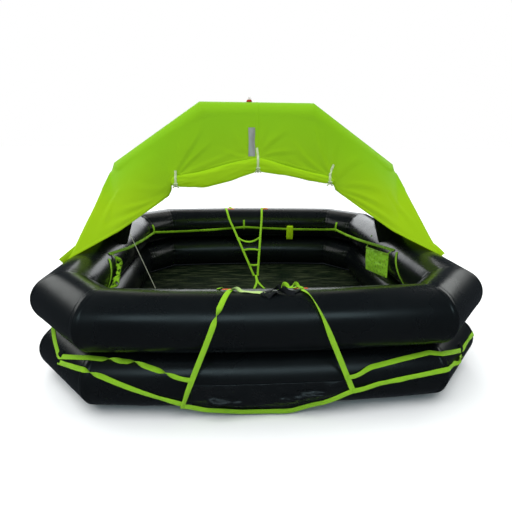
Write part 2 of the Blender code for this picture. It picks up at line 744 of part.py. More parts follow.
def outer_lifeline(sign, mat):
    """Webbing from the front strap round one side of the raft to the rear strap."""
    side_name = "left" if sign < 0 else "right"
    tubes = (FRONT_LEFT, LEFT, REAR_LEFT) if sign < 0 else (FRONT_RIGHT, RIGHT, REAR_RIGHT)

    def share(t):
        return 1 - t if sign < 0 else t

    patch, sag = PATCH[sign], PATCH[sign] - SIDE_SAG
    has_bottle = sign < 0
    front = [(FRONT, share_of(FRONT, x, TUBE_R * math.cos(math.radians(d))), d)
             for x, d in UPPER_BRANCH[sign]]
    front.append((FRONT, share(1), UPPER_MITRE[sign]))
    rear = [(REAR, 1 - t, d) for _, t, d in reversed(front)]
    rear_mitre = patch if has_bottle else UPPER_MITRE[sign]
    rear[0] = (REAR, share(0), rear_mitre)
    runs = [front,
            [(tubes[0], share(0), UPPER_MITRE[sign]), (tubes[0], 0.5, patch),
             (tubes[0], share(1), SIDE_MITRE[sign])],
            [(tubes[1], share(0), SIDE_MITRE[sign]), (tubes[1], share(0.25), sag),
             (tubes[1], 0.5, patch), (tubes[1], share(0.75), sag), (tubes[1], share(1), patch)],
            [(tubes[2], share(0), patch), (tubes[2], 0.5, patch), (tubes[2], share(1), rear_mitre)],
            rear]
    x, z = UPPER_END[sign]
    face = STRAP_FACE[sign]
    path = [web_end(x, z, face, -1), web_end(x + sign * CROSSING, z, face, -1)]
    path += chain(runs, LOWER_Z, LINE_LIFT)
    path += [web_end(x + sign * CROSSING, z, face, 1), web_end(x, z, face, 1)]
    solid(f"lifeline_{side_name}", *ribbon(path, LINE_W), mat)


def lower_branch(sign, side, mat):
    """Webbing from the lower end of a boarding strap to the patch on the next chamfer."""
    name = f"lifeline_lower_{'front' if side < 0 else 'rear'}_{'left' if sign < 0 else 'right'}"
    far = {(-1, -1): FRONT_LEFT, (1, -1): FRONT_RIGHT, (-1, 1): REAR_LEFT, (1, 1): REAR_RIGHT}
    chamfer = far[sign, side]
    near = FRONT if side < 0 else REAR
    mitre_share = 1 if (near, sign) in ((FRONT, 1), (REAR, -1)) else 0
    stops = [(near, share_of(near, x, TUBE_R * math.cos(math.radians(d))), d)
             for x, d in LOWER_BRANCH[sign]]
    stops.append((near, mitre_share, LOWER_MITRE[sign]))
    end_degrees = PATCH[sign] - PATCH_FOOT
    runs = [stops, [(chamfer, 1 - mitre_share, LOWER_MITRE[sign]), (chamfer, 0.5, end_degrees)]]
    if chamfer == REAR_LEFT:
        runs[0][-1] = (near, mitre_share, end_degrees)
        runs[1][0] = (chamfer, 1 - mitre_share, end_degrees)
    x = min(EDGE_STRAP) if sign < 0 else max(EDGE_STRAP)
    z = LOWER_END[sign]
    over = Vector((x, side * (edge_strap_y(x, z) + WEB_T + OVER_STRAP), z))
    beside = over + X_AXIS * sign * CROSSING
    normal = Vector((0, side, 0))
    path = [(over, normal), (beside, normal)] + chain(runs, LOWER_Z, LINE_LIFT)
    path[-1] = skin_point(chamfer, 0.5, end_degrees, LOWER_Z, 2 * GAP)
    solid(name, *ribbon(path, LINE_W), mat)


def outer_lifelines(mat):
    for sign in (-1, 1):
        outer_lifeline(sign, mat)
        for side in (-1, 1):
            lower_branch(sign, side, mat)


def side_path(sign, ends):
    """The lifeline's run along a side tube between two (y, degrees) stops."""
    i = RIGHT if sign > 0 else LEFT
    stops = [(i, share_of(i, y, TUBE_R * math.cos(math.radians(degrees))), degrees)
             for y, degrees in ends]
    return skin_path(stops, UPPER_Z, INNER_LIFT)


def wall_loop(stop):
    """A short webbing loop that lies up the tube's wall and carries the lifeline."""
    i, t, degrees = stop
    stops = [(i, t, degrees + step) for step in LOOP_DEGREES]
    return ribbon(skin_path(stops, UPPER_Z, 2 * GAP), SMALL_W, LOOP_T)


def rear_corners():
    """Where the loops carry the rear inner lifeline, from right to left."""
    middle = (REAR, share_of(REAR, MIDDLE_X, -TUBE_R), MIDDLE_DEGREES)
    degrees = WALL_DEGREES["rear"]
    return [(REAR_RIGHT, 0.5, degrees), middle, (REAR_LEFT, REAR_LEFT_SHARE, degrees)]


def front_corners():
    """Where the loops carry the front inner lifeline, from left to right."""
    middle = (FRONT, share_of(FRONT, MIDDLE_X, -TUBE_R), MIDDLE_DEGREES)
    degrees = WALL_DEGREES["front"]
    return [(FRONT_LEFT, 0.5, degrees), middle, (FRONT_RIGHT, 0.5, degrees)]


def inner_lifelines(mat):
    runs = {"rear": (side_path(1, REAR_ENDS[1]), rear_corners(), side_path(-1, REAR_ENDS[-1])),
            "front": (side_path(-1, FRONT_ENDS[-1]), front_corners(), side_path(1, FRONT_ENDS[1]))}
    for face_name, (before, corners, after) in runs.items():
        held = [skin_point(*stop, UPPER_Z, INNER_LIFT) for stop in corners]
        webs = [ribbon(before + held + after, SMALL_W)] + [wall_loop(stop) for stop in corners]
        fused(f"lifeline_inner_{face_name}", webs, mat)


def ladder(i, side, mat):
    """Two webbing legs with rungs, and two loose ends spread on the floor."""
    straps, lines = [], []
    steps = len(LADDER_BENDS) - 1
    for x_top, x_foot in zip(LADDER_TOP, LADDER_FOOT):
        drift = LADDER_DRIFT * (x_foot - x_top) / steps
        path = [end_point(i, x_top + drift * k, degrees, UPPER_Z, LADDER_LIFT)
                for k, degrees in enumerate(LADDER_BENDS)]
        start, normal = path[-1]
        foot = Vector((x_foot, side * LADDER_Y, FLOOR_TOP + 2 * GAP + WEB_T))
        lines.append((start, foot, normal))
        straps.append(ribbon(path + [(foot, normal)], SMALL_W))
    for share in RUNGS:
        ends = [start.lerp(foot, share) + normal * WEB_T / 3 for start, foot, normal in lines]
        reach = (ends[1] - ends[0]).normalized() * SMALL_W * RUNG_LAP
        straps.append(ribbon([(ends[0] - reach, lines[0][2]), (ends[1] + reach, lines[1][2])],
                             SMALL_W))
    root = Vector((sum(LADDER_FOOT) / 2, side * (LADDER_Y + LEG_LAP), FLOOR_TOP + GAP))
    for x, y in LEGS:
        tip = Vector((x, side * y, FLOOR_TOP + GAP))
        straps.append(ribbon([(root, Z_AXIS), (tip, Z_AXIS)], SMALL_W, 2 * WEB_T))
    fused(f"boarding_ladder_{'front' if side < 0 else 'rear'}", straps, mat)


def pouch(mat):
    """A flat pouch under the lifeline, against the right wall of the cockpit."""
    wall = HALF_X - TUBE_R
    middle = [sum(values) / len(POUCH) for values in zip(*POUCH)]
    sections = []
    for depth, inset in POUCH_LAYERS:
        centre = Vector((wall - depth, *middle))
        sections.append([Vector((wall - depth, *corner)).lerp(centre, inset) for corner in POUCH])
    solid("pouch", *loft(sections), mat)


def tag_pouch(mat):
    """A small pouch that hangs from the rear inner lifeline."""
    near, far = [skin_point(*stop, UPPER_Z, INNER_LIFT)[0] for stop in rear_corners()[:2]]
    spot = near.lerp(far, (near.x - TAG_X) / (near.x - far.x))
    along = (far - near).normalized()
    inward = Vector((-along.y, along.x, 0)).normalized()
    top, bottom = TAG_Z
    sections = []
    for depth, half in TAG_LAYERS:
        corners = ((-half, top), (half, top), (half, bottom), (-half, bottom))
        sections.append([spot + inward * depth + along * x + Z_AXIS * z for x, z in corners])
    solid("tag_pouch", *loft(sections), mat)


def rescue_line(mat):
    """A thick knotted line that lies against the left wall of the cockpit."""
    path, radii = [], []
    for y, z, radius in KNOTS:
        degrees = 180 - math.degrees(math.asin((z - UPPER_Z) / (TUBE_R + radius)))
        share = share_of(LEFT, y, -TUBE_R)
        path.append(skin_point(LEFT, share, degrees, UPPER_Z, radius + KNOT_LIFT)[0])
        radii.append(radius)
    solid("rescue_line", *rod(path, radii, KNOT_SIDES), mat)


def stay_line(mat):
    """A thin line from the left foot of the arch to the floor."""
    share = (STAY_TOP - UPPER_Z) / (KNEE[1] - UPPER_Z)
    a = math.radians(180 - 360 / ARCH_SIDES)
    reach = ARCH_R + STAY_R * STAY_SEAT + 2 * GAP
    top = ARCH[0].lerp(ARCH[1], share) + (ARCH_OUT[0] * math.cos(a) + Y_AXIS * math.sin(a)) * reach
    foot = Vector((*STAY_FOOT, FLOOR_TOP))
    slope = (foot - top).normalized()
    foot.z += STAY_R * math.hypot(slope.x, slope.y) + GAP
    solid("stay_line", *rod([top, foot], STAY_R, STAY_SIDES), mat)


def bottle_wall(i, spot, degrees, ring_z):
    """A skin point of tube i abreast of spot."""
    a = math.radians(degrees)
    normal = OUTWARD[i] * math.cos(a) + Z_AXIS * math.sin(a)
    point = CORNERS[i] + ALONG[i] * (spot - CORNERS[i]).dot(ALONG[i])
    point.z = ring_z
    return point + normal * (TUBE_R + 2 * GAP), normal


def gas_bottle(bottle_mat, valve_mat, webbing_mat):
    """The gas bottle, held by webbing in the crease between the rings at the rear left."""
    i = REAR_LEFT
    e = math.sqrt((TUBE_R + BOTTLE_R + 2 * GAP) ** 2 - (RING_STEP / 2) ** 2)
    middle = ring_point(i, 0.5, e, CREASE_Z)
    along, out = ALONG[i], OUTWARD[i]
    half, dome = BOTTLE_L / 2, BOTTLE_R * BOTTLE_DOME
    turns = [math.radians(degrees) for degrees in DOME_DEGREES]
    profile = [(-half + dome * (1 - math.cos(a)), BOTTLE_R * math.sin(a)) for a in turns]
    profile += [(-x, r) for x, r in reversed(profile)]
    solid("gas_bottle", *turned(middle, along, profile, BOTTLE_SIDES), bottle_mat)

    facet = 360 / BOTTLE_SIDES
    wrap = BOTTLE_R / math.cos(math.radians(facet / 2)) + 2 * GAP
    bands = []
    for step in (-BAND_AT, BAND_AT):
        spot = middle + along * step
        path = [bottle_wall(i, spot, degrees, UPPER_Z) for degrees in (BAND_DEGREES, 0)]
        for degrees in (facet, 0, -facet):
            a = math.radians(degrees)
            normal = out * math.cos(a) + Z_AXIS * math.sin(a)
            path.append((spot + normal * wrap, normal))
        path += [bottle_wall(i, spot, degrees, LOWER_Z) for degrees in (0, -BAND_DEGREES)]
        bands.append(ribbon(path, LINE_W))
    lift = out * (wrap + WEB_T / 2)
    link = [(middle + along * end + lift, out) for end in (-BAND_LINK, BAND_LINK)]
    fused("bottle_straps", [*bands, ribbon(link, LINE_W)], webbing_mat)

    end = middle + along * (profile[-1][0] + GAP)
    hose = [end + along * x + out * y + Z_AXIS * z for x, y, z in HOSE_BENDS]
    hose.append(ring_point(i, INLET_SHARE, TUBE_R + INLET_LIFT, UPPER_Z))
    fused("bottle_valve", [turned(end, along, NECK), rod(hose, HOSE_R)], valve_mat)


def slab(x, y, z):
    """A box between two values on each axis."""
    base = [(x[0], y[0]), (x[1], y[0]), (x[1], y[1]), (x[0], y[1])]
    return loft([[Vector((*p, height)) for p in base] for height in z])


def underside(mat):
    half = STRAP_W / 2
    across, length = RIGHTING_HALF
    shapes = [slab((-half, half), (-length, length), RIGHTING_Z)]
    for y in (-POCKET_AT, POCKET_AT):
        shapes.append(slab((-across, across), (y - half, y + half),
                           (RIGHTING_Z[0], RIGHTING_Z[1] - GAP)))
        for x in (-POCKET_AT, POCKET_AT):
            shapes.append(slab((x - POCKET[0], x + POCKET[0]), (y - POCKET[1], y + POCKET[1]),
                               POCKET_Z))
    fused("ballast_pockets", shapes, mat)


def relief_valves(mat):
    for name, x in (("left", -VALVE_X), ("right", VALVE_X)):
        point, normal = end_point(REAR, x, 0, UPPER_Z, 2 * GAP)
        solid(f"valve_{name}", *turned(point, normal, VALVE), mat)


def main():
    for obj in list(bpy.data.objects):
        bpy.data.objects.remove(obj, do_unlink=True)
    black = material("black_coated_fabric", (0.012, 0.016, 0.018), 0.35)
    floor_mat = material("floor_fabric", (0.02, 0.026, 0.014), 0.4)
    green = material("canopy_fabric", (0.27, 0.52, 0.02), 0.55)
    webbing = material("green_webbing", (0.2, 0.5, 0.03), 0.7)
    red = material("red_plastic", (0.5, 0.02, 0.01), 0.4)
    clear = material("clear_dome", (0.8, 0.8, 0.78), 0.15)
    white = material("white_line", (0.7, 0.7, 0.65), 0.6)
    grey = material("grey_plastic", (0.12, 0.12, 0.12), 0.5)
    brass = material("brass", (0.6, 0.42, 0.15), 0.35, 1.0)
    buoyancy_rings(black)
    floor_sheet(floor_mat)
    arch_lengths(black)
    canopy_panels(green)
    door_rolls(green)
    canopy_lamp(red, clear)
    boarding_aprons(webbing, black)
    outer_lifelines(webbing)
    inner_lifelines(webbing)
    ladder(REAR, 1, webbing)
    ladder(FRONT, -1, webbing)
    pouch(green)
    tag_pouch(green)
    rescue_line(webbing)
    stay_line(white)
    gas_bottle(grey, brass, webbing)
    underside(black)
    relief_valves(grey)


main()
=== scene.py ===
"""Looks of an inflatable life raft: two stacked tubes, an arch, an open-ended canopy and webbing.

Lengths are metres and the raft's boarding side faces -Y. Degrees run round a tube: 0 faces away
from the raft, 90 is up and 180 faces the cockpit.
"""

import math

import bpy
import numpy as np
from mathutils import Matrix, Vector, noise
from mathutils.bvhtree import BVHTree


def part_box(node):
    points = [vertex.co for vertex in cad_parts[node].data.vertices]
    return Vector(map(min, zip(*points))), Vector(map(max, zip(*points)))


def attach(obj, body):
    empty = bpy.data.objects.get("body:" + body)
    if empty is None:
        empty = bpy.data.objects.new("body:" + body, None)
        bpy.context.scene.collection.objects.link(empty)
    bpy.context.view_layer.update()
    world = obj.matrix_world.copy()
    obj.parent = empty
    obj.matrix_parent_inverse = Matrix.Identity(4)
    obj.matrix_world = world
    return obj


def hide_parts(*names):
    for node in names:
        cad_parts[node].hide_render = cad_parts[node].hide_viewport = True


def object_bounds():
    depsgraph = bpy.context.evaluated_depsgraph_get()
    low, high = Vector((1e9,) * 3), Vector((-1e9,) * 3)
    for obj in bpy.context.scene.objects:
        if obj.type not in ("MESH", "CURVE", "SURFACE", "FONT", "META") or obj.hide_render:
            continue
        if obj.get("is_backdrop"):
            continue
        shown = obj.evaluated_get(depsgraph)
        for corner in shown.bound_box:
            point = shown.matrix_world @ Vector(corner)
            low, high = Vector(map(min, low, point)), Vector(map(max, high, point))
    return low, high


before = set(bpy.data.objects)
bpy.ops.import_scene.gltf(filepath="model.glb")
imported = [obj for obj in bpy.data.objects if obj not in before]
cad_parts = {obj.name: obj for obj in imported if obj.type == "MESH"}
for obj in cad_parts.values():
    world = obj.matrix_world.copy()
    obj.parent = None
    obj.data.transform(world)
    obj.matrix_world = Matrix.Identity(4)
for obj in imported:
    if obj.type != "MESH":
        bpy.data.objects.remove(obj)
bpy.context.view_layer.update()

# Buoyancy tubes: black coated fabric, cut and glued with butt seams at the eight mitres of each
# ring, a tape over every seam. Air pressure keeps them round; on the inside of each mitre, where
# there is too much cloth, it puckers.


class Socket:
    """The output of a shader node. Maths written on it adds the Math nodes that work it out."""

    def __init__(self, finish, output):
        self.finish = finish
        self.output = output

    def math(self, operation, *values):
        return self.finish.add("Math", {"operation": operation}, dict(enumerate(values)))

    def __add__(self, other):
        return self.math("ADD", self, other)

    def __sub__(self, other):
        return self.math("SUBTRACT", self, other)

    def __rsub__(self, other):
        return self.math("SUBTRACT", other, self)

    def __mul__(self, other):
        return self.math("MULTIPLY", self, other)

    def __abs__(self):
        return self.math("ABSOLUTE", self)

    def sine(self):
        return self.math("SINE", self)

    __radd__ = __add__
    __rmul__ = __mul__


class Finish:
    """A material in the making, which ends in one Principled shader."""

    def __init__(self, name, **constants):
        self.material = bpy.data.materials.new(name)
        self.material.use_nodes = True
        self.tree = self.material.node_tree
        self.shader = self.tree.nodes["Principled BSDF"]
        self.wear(**constants)

    def fill(self, socket, value):
        if isinstance(value, Socket):
            self.tree.links.new(value.output, socket)
        elif socket.type == "RGBA":
            socket.default_value = (*value, 1)
        else:
            socket.default_value = value

    def add(self, kind, settings, sockets, output=0):
        """A new node: its type, its settings, its sockets' values or links, and the output to use."""
        node = self.tree.nodes.new("ShaderNode" + kind)
        for key, value in settings.items():
            if key == "stops":
                for stop, (place, colour) in enumerate(value):
                    if stop > 1:
                        node.color_ramp.elements.new(place)
                    node.color_ramp.elements[stop].position = place
                    node.color_ramp.elements[stop].color = (*colour, 1)
            else:
                setattr(node, key, value)
        for key, value in sockets.items():
            self.fill(node.inputs[key], value)
        return Socket(self, node.outputs[output])

    def place(self, stretch=(1, 1, 1)):
        """Where the surface is, in the raft's own frame."""
        at = self.add("TexCoord", {}, {}, "Object")
        return self.add("Mapping", {}, {"Vector": at, "Scale": stretch})

    def across(self, axis):
        """The cloth's own coordinate in metres: 0 across, 1 along."""
        at = self.add("UVMap", {"uv_map": "cloth"}, {})
        return self.add("SeparateXYZ", {}, {"Vector": at}, axis)

    def cloudy(self, at, scale, detail=3, roughness=0.5):
        """Soft noise from 0 to 1."""
        return self.add("TexNoise", {}, {"Vector": at, "Scale": scale, "Detail": detail,
                                         "Roughness": roughness})

    def between(self, value, low, high, start=0.0, end=1.0):
        """A smooth step from start to end while value goes from low to high."""
        return self.add("MapRange", {"interpolation_type": "SMOOTHSTEP"},
                        {"Value": value, "From Min": low, "From Max": high, "To Min": start,
                         "To Max": end})

    def mix(self, first, second, share):
        """Colours mixed by share."""
        return self.add("Mix", {"data_type": "RGBA"}, {0: share, 6: first, 7: second}, 2)

    def relief(self, height, depth, strength=1.0, under=None):
        """Raised and sunk detail of that depth in metres."""
        sockets = {"Height": height, "Distance": depth, "Strength": strength}
        if under:
            sockets["Normal"] = under
        return self.add("Bump", {}, sockets)

    def wear(self, **values):
        """Fills the shader's own sockets, which are named, and gives back the material."""
        own = {socket.name.lower(): socket for socket in self.shader.inputs}
        for key, value in values.items():
            self.fill(own[key.replace("_", " ")], value)
        return self.material


def piece(name, verts, faces, material, slot, replaced=(), uv=None, smooth=50):
    """A mesh of the raft that rides on its one body and stands for the CAD nodes it replaces."""
    mesh = bpy.data.meshes.new(name)
    mesh.from_pydata([tuple(map(float, v)) for v in verts], [], faces)
    if uv is not None:
        layer = mesh.uv_layers.new(name="cloth")
        picked = np.array([uv[loop.vertex_index] for loop in mesh.loops], np.float32)
        layer.data.foreach_set("uv", picked.ravel())
    mesh.shade_smooth()
    mesh.set_sharp_from_angle(angle=math.radians(smooth))
    mesh.materials.append(material)
    obj = bpy.data.objects.new(name, mesh)
    bpy.context.collection.objects.link(obj)
    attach(obj, "root")
    if replaced:
        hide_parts(*replaced)
    return obj


def skin_faces(rows, columns, wrap_rows=False, wrap_columns=False):
    """Faces of a grid of points, which may close on itself either way."""
    faces = []
    for i in range(rows if wrap_rows else rows - 1):
        for j in range(columns if wrap_columns else columns - 1):
            row, column = (i + 1) % rows, (j + 1) % columns
            faces.append((i * columns + j, i * columns + column, row * columns + column,
                          row * columns + j))
    return faces


SIDES = ("front", "front_right", "right", "rear_right", "rear", "rear_left", "left", "front_left")
FRONT, FRONT_RIGHT, RIGHT, REAR_RIGHT, REAR, REAR_LEFT, LEFT, FRONT_LEFT = range(8)
left_low, left_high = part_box("upper_tube_left")
TUBE_R = (left_high.x - left_low.x) / 2
HALF_X = -(left_high.x + left_low.x) / 2
UPPER_Z = left_high.z - TUBE_R
LOWER_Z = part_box("lower_tube_left")[0].z + TUBE_R
CREASE_Z = (LOWER_Z + UPPER_Z) / 2
HALF_Y = 1.225
CHAMFER = 0.31
BOW = 0.045
TUBE_SIDES = 72
SEAM_STEPS = (0.0, 0.005, 0.011, 0.018, 0.0235, 0.025, 0.034, 0.045, 0.058, 0.074, 0.094, 0.12)
RUN_STEP = 0.026
TAPE_HALF = 0.024
TAPE_RISE = 0.0009
PUCKER = 0.0035
PUCKERS_ROUND = 17
PUCKER_REACH = 0.055
PINCH = 0.004
PINCH_REACH = 0.03
SLACK = 0.0009
FINE_SLACK = 0.0004
CREASE_GAP = 0.0003
ENDS = [(-HALF_X + CHAMFER, -HALF_Y), (HALF_X - CHAMFER, -HALF_Y), (HALF_X, -HALF_Y + CHAMFER),
        (HALF_X, HALF_Y - CHAMFER), (HALF_X - CHAMFER, HALF_Y), (-HALF_X + CHAMFER, HALF_Y),
        (-HALF_X, HALF_Y - CHAMFER), (-HALF_X, -HALF_Y + CHAMFER)]
CORNERS = [Vector((x, y, 0)) for x, y in ENDS]
ALONG = [(CORNERS[(i + 1) % 8] - CORNERS[i]).normalized() for i in range(8)]
OUTWARD = [Vector((d.y, -d.x, 0)) for d in ALONG]
MITRES = [(OUTWARD[i - 1] + OUTWARD[i]) / (1 + OUTWARD[i - 1].dot(OUTWARD[i])) for i in range(8)]
UP = Vector((0, 0, 1))


def mitred(i, outside):
    """The ends of the line that runs along tube i so far outside its middle line."""
    return CORNERS[i] + MITRES[i] * outside, CORNERS[(i + 1) % 8] + MITRES[(i + 1) % 8] * outside


def ring_point(i, share, outside, z, shift=0.0):
    """A point by tube i: share of its length, outside its middle line, at height z."""
    start, end = mitred(i, outside)
    point = start.lerp(end, share) + ALONG[i] * shift
    if i in (FRONT, REAR):
        t = share + shift / (end - start).length
        point += OUTWARD[i] * BOW * 4 * t * (1 - t)
    point.z = z
    return point


def tube_stations(i):
    """Where the tube's rows lie: shares of its length with shifts, close together at the seams."""
    length = (CORNERS[(i + 1) % 8] - CORNERS[i]).length
    inner = length - 2 * SEAM_STEPS[-1]
    steps = max(4, round(inner / RUN_STEP))
    middle = [(k / steps, SEAM_STEPS[-1] * (1 - 2 * k / steps)) for k in range(steps + 1)]
    first = [(0, d) for d in SEAM_STEPS[:-1]]
    last = [(1, -d) for d in reversed(SEAM_STEPS[1:-1])]
    return [(share, shift, min(share * length + shift, length - share * length - shift))
            for share, shift in first + middle + last]


def cloth_swell(point, degrees, from_seam, corner):
    """How far the tube's cloth stands off the plain round: tape, puckers and slight slackness."""
    inside = (1 - math.cos(math.radians(degrees))) / 2
    wave = math.sin(math.radians(degrees * PUCKERS_ROUND) + 2.3 * corner)
    wave += 0.7 * noise.noise(Vector((degrees / 9, corner * 7.1, from_seam * 12)))
    pucker = PUCKER * inside ** 2 * wave * math.exp(-from_seam / PUCKER_REACH)
    pinch = -PINCH * inside * math.exp(-(from_seam / PINCH_REACH) ** 2)
    tape = TAPE_RISE if from_seam < TAPE_HALF else 0.0
    slack = SLACK * noise.noise(point * 3.1) + FINE_SLACK * noise.noise(point * 11)
    return pucker + pinch + tape + slack


tube_finish = Finish("coated_tube_fabric")
tube_at = tube_finish.place()
thread = tube_finish.cloudy(tube_at, 900, 1)
ripple = tube_finish.cloudy(tube_finish.place((1, 1, 2)), 6, 2, 0.5)
smudge = tube_finish.cloudy(tube_at, 2.6, 5, 0.6)
tube_colour = tube_finish.mix((0.0022, 0.0030, 0.0036), (0.0042, 0.0058, 0.0066), smudge)
tube_relief = tube_finish.relief(ripple, 0.004, 0.2)
TUBE_FABRIC = tube_finish.wear(base_color=tube_colour,
                               roughness=tube_finish.between(smudge, 0.3, 0.75, 0.24, 0.34),
                               normal=tube_finish.relief(thread, 0.0002, 0.05, tube_relief))

for ring, ring_z, top in (("lower", LOWER_Z, True), ("upper", UPPER_Z, False)):
    verts = []
    for i in range(8):
        for share, shift, from_seam in tube_stations(i):
            corner = i if share * 2 < 1 else (i + 1) % 8
            for k in range(TUBE_SIDES):
                degrees = 360 * k / TUBE_SIDES
                a = math.radians(degrees)
                at = ring_point(i, share, TUBE_R * math.cos(a), ring_z + TUBE_R * math.sin(a), shift)
                radius = TUBE_R + cloth_swell(at, degrees, from_seam, corner)
                z = ring_z + radius * math.sin(a)
                z = min(z, CREASE_Z - CREASE_GAP) if top else max(z, CREASE_Z + CREASE_GAP)
                verts.append(ring_point(i, share, radius * math.cos(a), max(z, 0.0), shift))
    faces = skin_faces(len(verts) // TUBE_SIDES, TUBE_SIDES, True, True)
    piece(f"{ring}_ring", verts, faces, TUBE_FABRIC, "tube_fabric",
          [f"{ring}_tube_{side}" for side in SIDES])

# Floor: one sheet of coated fabric, glued in between the lowest parts of the lower ring. Nothing
# stretches it, so it lies in low glossy waves that run across the raft.
FLOOR_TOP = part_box("floor")[1].z
FLOOR_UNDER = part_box("floor")[0].z
FLOOR_RINGS = 90
FLOOR_STEPS = 26
FLOOR_DIP = 0.004
WAVE = 0.0055
WAVE_RISE = 0.0015
WAVES = (1.8, 9.0)

floor_finish = Finish("floor_fabric")
floor_at = floor_finish.place((*WAVES, 1))
floor_folds = floor_finish.cloudy(floor_at, 5, 5, 0.6)
# Lighter olive patches at random, streaked across the raft like the waves.
floor_patches = floor_finish.between(floor_finish.cloudy(floor_at, 2.3, 4, 0.6), 0.42, 0.70)
floor_colour = floor_finish.mix((0.005, 0.010, 0.005), (0.036, 0.046, 0.022), floor_patches)
FLOOR_FABRIC = floor_finish.wear(base_color=floor_colour,
                                 roughness=floor_finish.between(floor_folds, 0.3, 0.7, 0.10, 0.22),
                                 normal=floor_finish.relief(floor_folds, 0.035, 0.7))


def closed_faces(rows, columns, base=0):
    """Faces of rows of points that close on themselves, with a cap on the first and last row."""
    faces = skin_faces(rows, columns, False, True)
    faces += [tuple(reversed(range(columns))), tuple(range((rows - 1) * columns, rows * columns))]
    return [tuple(base + k for k in face) for face in faces]


outline = [ring_point(i, k / FLOOR_STEPS, -math.sqrt(TUBE_R ** 2 - (LOWER_Z - FLOOR_TOP) ** 2), 0)
           for i in range(8) for k in range(FLOOR_STEPS)]
verts = []
for layer in range(FLOOR_RINGS):
    share = (layer + 1) / FLOOR_RINGS
    for edge in outline:
        at = edge * share
        calm = min(1.0, (1 - share) * 12)
        folds = noise.fractal(Vector((at.x * WAVES[0], at.y * WAVES[1], 0.3)), 0.7, 2.1, 4)
        at.z = FLOOR_TOP - FLOOR_DIP + calm * (WAVE * folds + WAVE_RISE)
        verts.append(at)
under = [Vector((edge.x, edge.y, FLOOR_UNDER)) for edge in outline]
piece("floor_sheet", verts + under, closed_faces(FLOOR_RINGS + 1, len(outline)), FLOOR_FABRIC,
      "floor_fabric", ["floor"])

# Arch: a tube of the same fabric in five lengths, mitred at its knees and shoulders, whose feet
# are cut to the side tubes and glued on.
ARCH_R = (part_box("arch_top")[1].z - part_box("arch_top")[0].z) / 2
KNEE = (1.043, 1.2155)
SHOULDER = (0.413, 1.637)
ARCH_SIDES = 56
ARCH_STEP = 0.03
ARCH_PUCKER = 0.002
ARCH_PUCKER_REACH = 0.05
ARCH_PUCKERS_ROUND = 13
FOOT_REACH = 0.3
FOOT_GAP = 0.0008
BENDS = [Vector((x, 0, z)) for x, z in ((-HALF_X, UPPER_Z), (-KNEE[0], KNEE[1]),
                                        (-SHOULDER[0], SHOULDER[1]), SHOULDER, KNEE,
                                        (HALF_X, UPPER_Z))]
RISE = [(BENDS[i + 1] - BENDS[i]).normalized() for i in range(5)]
ARCH_OUT = [Vector((-d.z, 0, d.x)) for d in RISE]
BEND_OUT = [(ARCH_OUT[i - 1] + ARCH_OUT[i]) / (1 + ARCH_OUT[i - 1].dot(ARCH_OUT[i]))
            for i in range(1, 5)]
BEND_OUT = [ARCH_OUT[0], *BEND_OUT, ARCH_OUT[4]]


def arch_section(i, share, radius_at):
    """The points round arch length i at share of it; degrees 0 is outwards, 90 to the rear."""
    points = []
    for k in range(ARCH_SIDES):
        a = 2 * math.pi * k / ARCH_SIDES
        radius = radius_at(math.degrees(a))
        across = Vector((0, radius * math.sin(a), 0))
        start = BENDS[i] + BEND_OUT[i] * radius * math.cos(a)
        end = BENDS[i + 1] + BEND_OUT[i + 1] * radius * math.cos(a)
        points.append(start.lerp(end, share) + across)
    return points


def to_side_tube(point, rise, clear):
    """The point moved along the arch's foot until it lies clear of the side tube's skin."""
    axis_x = math.copysign(HALF_X, point.x)
    dx, dz = point.x - axis_x, point.z - UPPER_Z
    b = dx * rise.x + dz * rise.z
    c = dx * dx + dz * dz - (TUBE_R + clear) ** 2
    return point + rise * (-b + math.sqrt(max(b * b - c, 0)))


verts = []
for i in range(5):
    length = (BENDS[i + 1] - BENDS[i]).length
    steps = math.ceil(length / ARCH_STEP)
    for k in range(steps + (i == 4)):
        from_bend = min(k, steps - k) / steps * length
        if i == 0 and k / steps * length < FOOT_REACH:
            from_bend = length - k / steps * length

        def swell(degrees, from_bend=from_bend, i=i):
            inner = (1 - math.cos(math.radians(degrees))) / 2
            wave = math.sin(math.radians(degrees * ARCH_PUCKERS_ROUND) + i)
            fade = math.exp(-from_bend / ARCH_PUCKER_REACH)
            return ARCH_R + inner ** 2 * ARCH_PUCKER * wave * fade

        ring = arch_section(i, k / steps, swell)
        foot = k / steps * length if i == 0 else (1 - k / steps) * length if i == 4 else 1
        if foot < FOOT_REACH:
            upwards = RISE[0] if i == 0 else -RISE[4]
            moved = []
            for point in ring:
                seat = to_side_tube(point - upwards * foot, upwards, FOOT_GAP)
                high = point + upwards * (FOOT_REACH - foot)
                moved.append(seat.lerp(high, foot / FOOT_REACH))
            ring = moved
        verts += ring
piece("arch_tube", verts, closed_faces(len(verts) // ARCH_SIDES, ARCH_SIDES), TUBE_FABRIC,
      "tube_fabric",
      ["arch_leg_left", "arch_slope_left", "arch_top", "arch_slope_right", "arch_leg_right"])

# Canopy: bright coated cloth drawn over the arch, sewn from a left and a right half with a seam
# down the middle, and glued to the outer shoulders of the side tubes. Ties pull its front edge up
# into points, from which folds run to the arch.
COLUMN_X = (-KNEE[0], -0.69, -0.65, -SHOULDER[0], -0.2, 0.0, 0.2, SHOULDER[0], 0.585, 0.62,
            KNEE[0])
ARC = (-67.5, -45.0, -22.5, 0.0, 22.5, 45.0, 67.5)
ARC_FOOT_HALF_Y = 0.3
HALF_DEPTH = 0.58
HEM_DEGREES = 45
LAP_DEGREES = 60
LAP_SHARE = 0.15
TAUT_SHARE = 0.3
DOOR_Y = 0.2
SKIN_GAP = 0.0006
CLOTH_LIFT = 0.0035
CLOTH_T = 0.0016
TIES = ((-0.65, 1.14), (0.0, 1.25), (0.585, 1.155))
HEM_SLACK = {-1: 0.055, 1: 0.0}
HEM_FALL = {-0.69: 1.055, 0.62: 1.10}
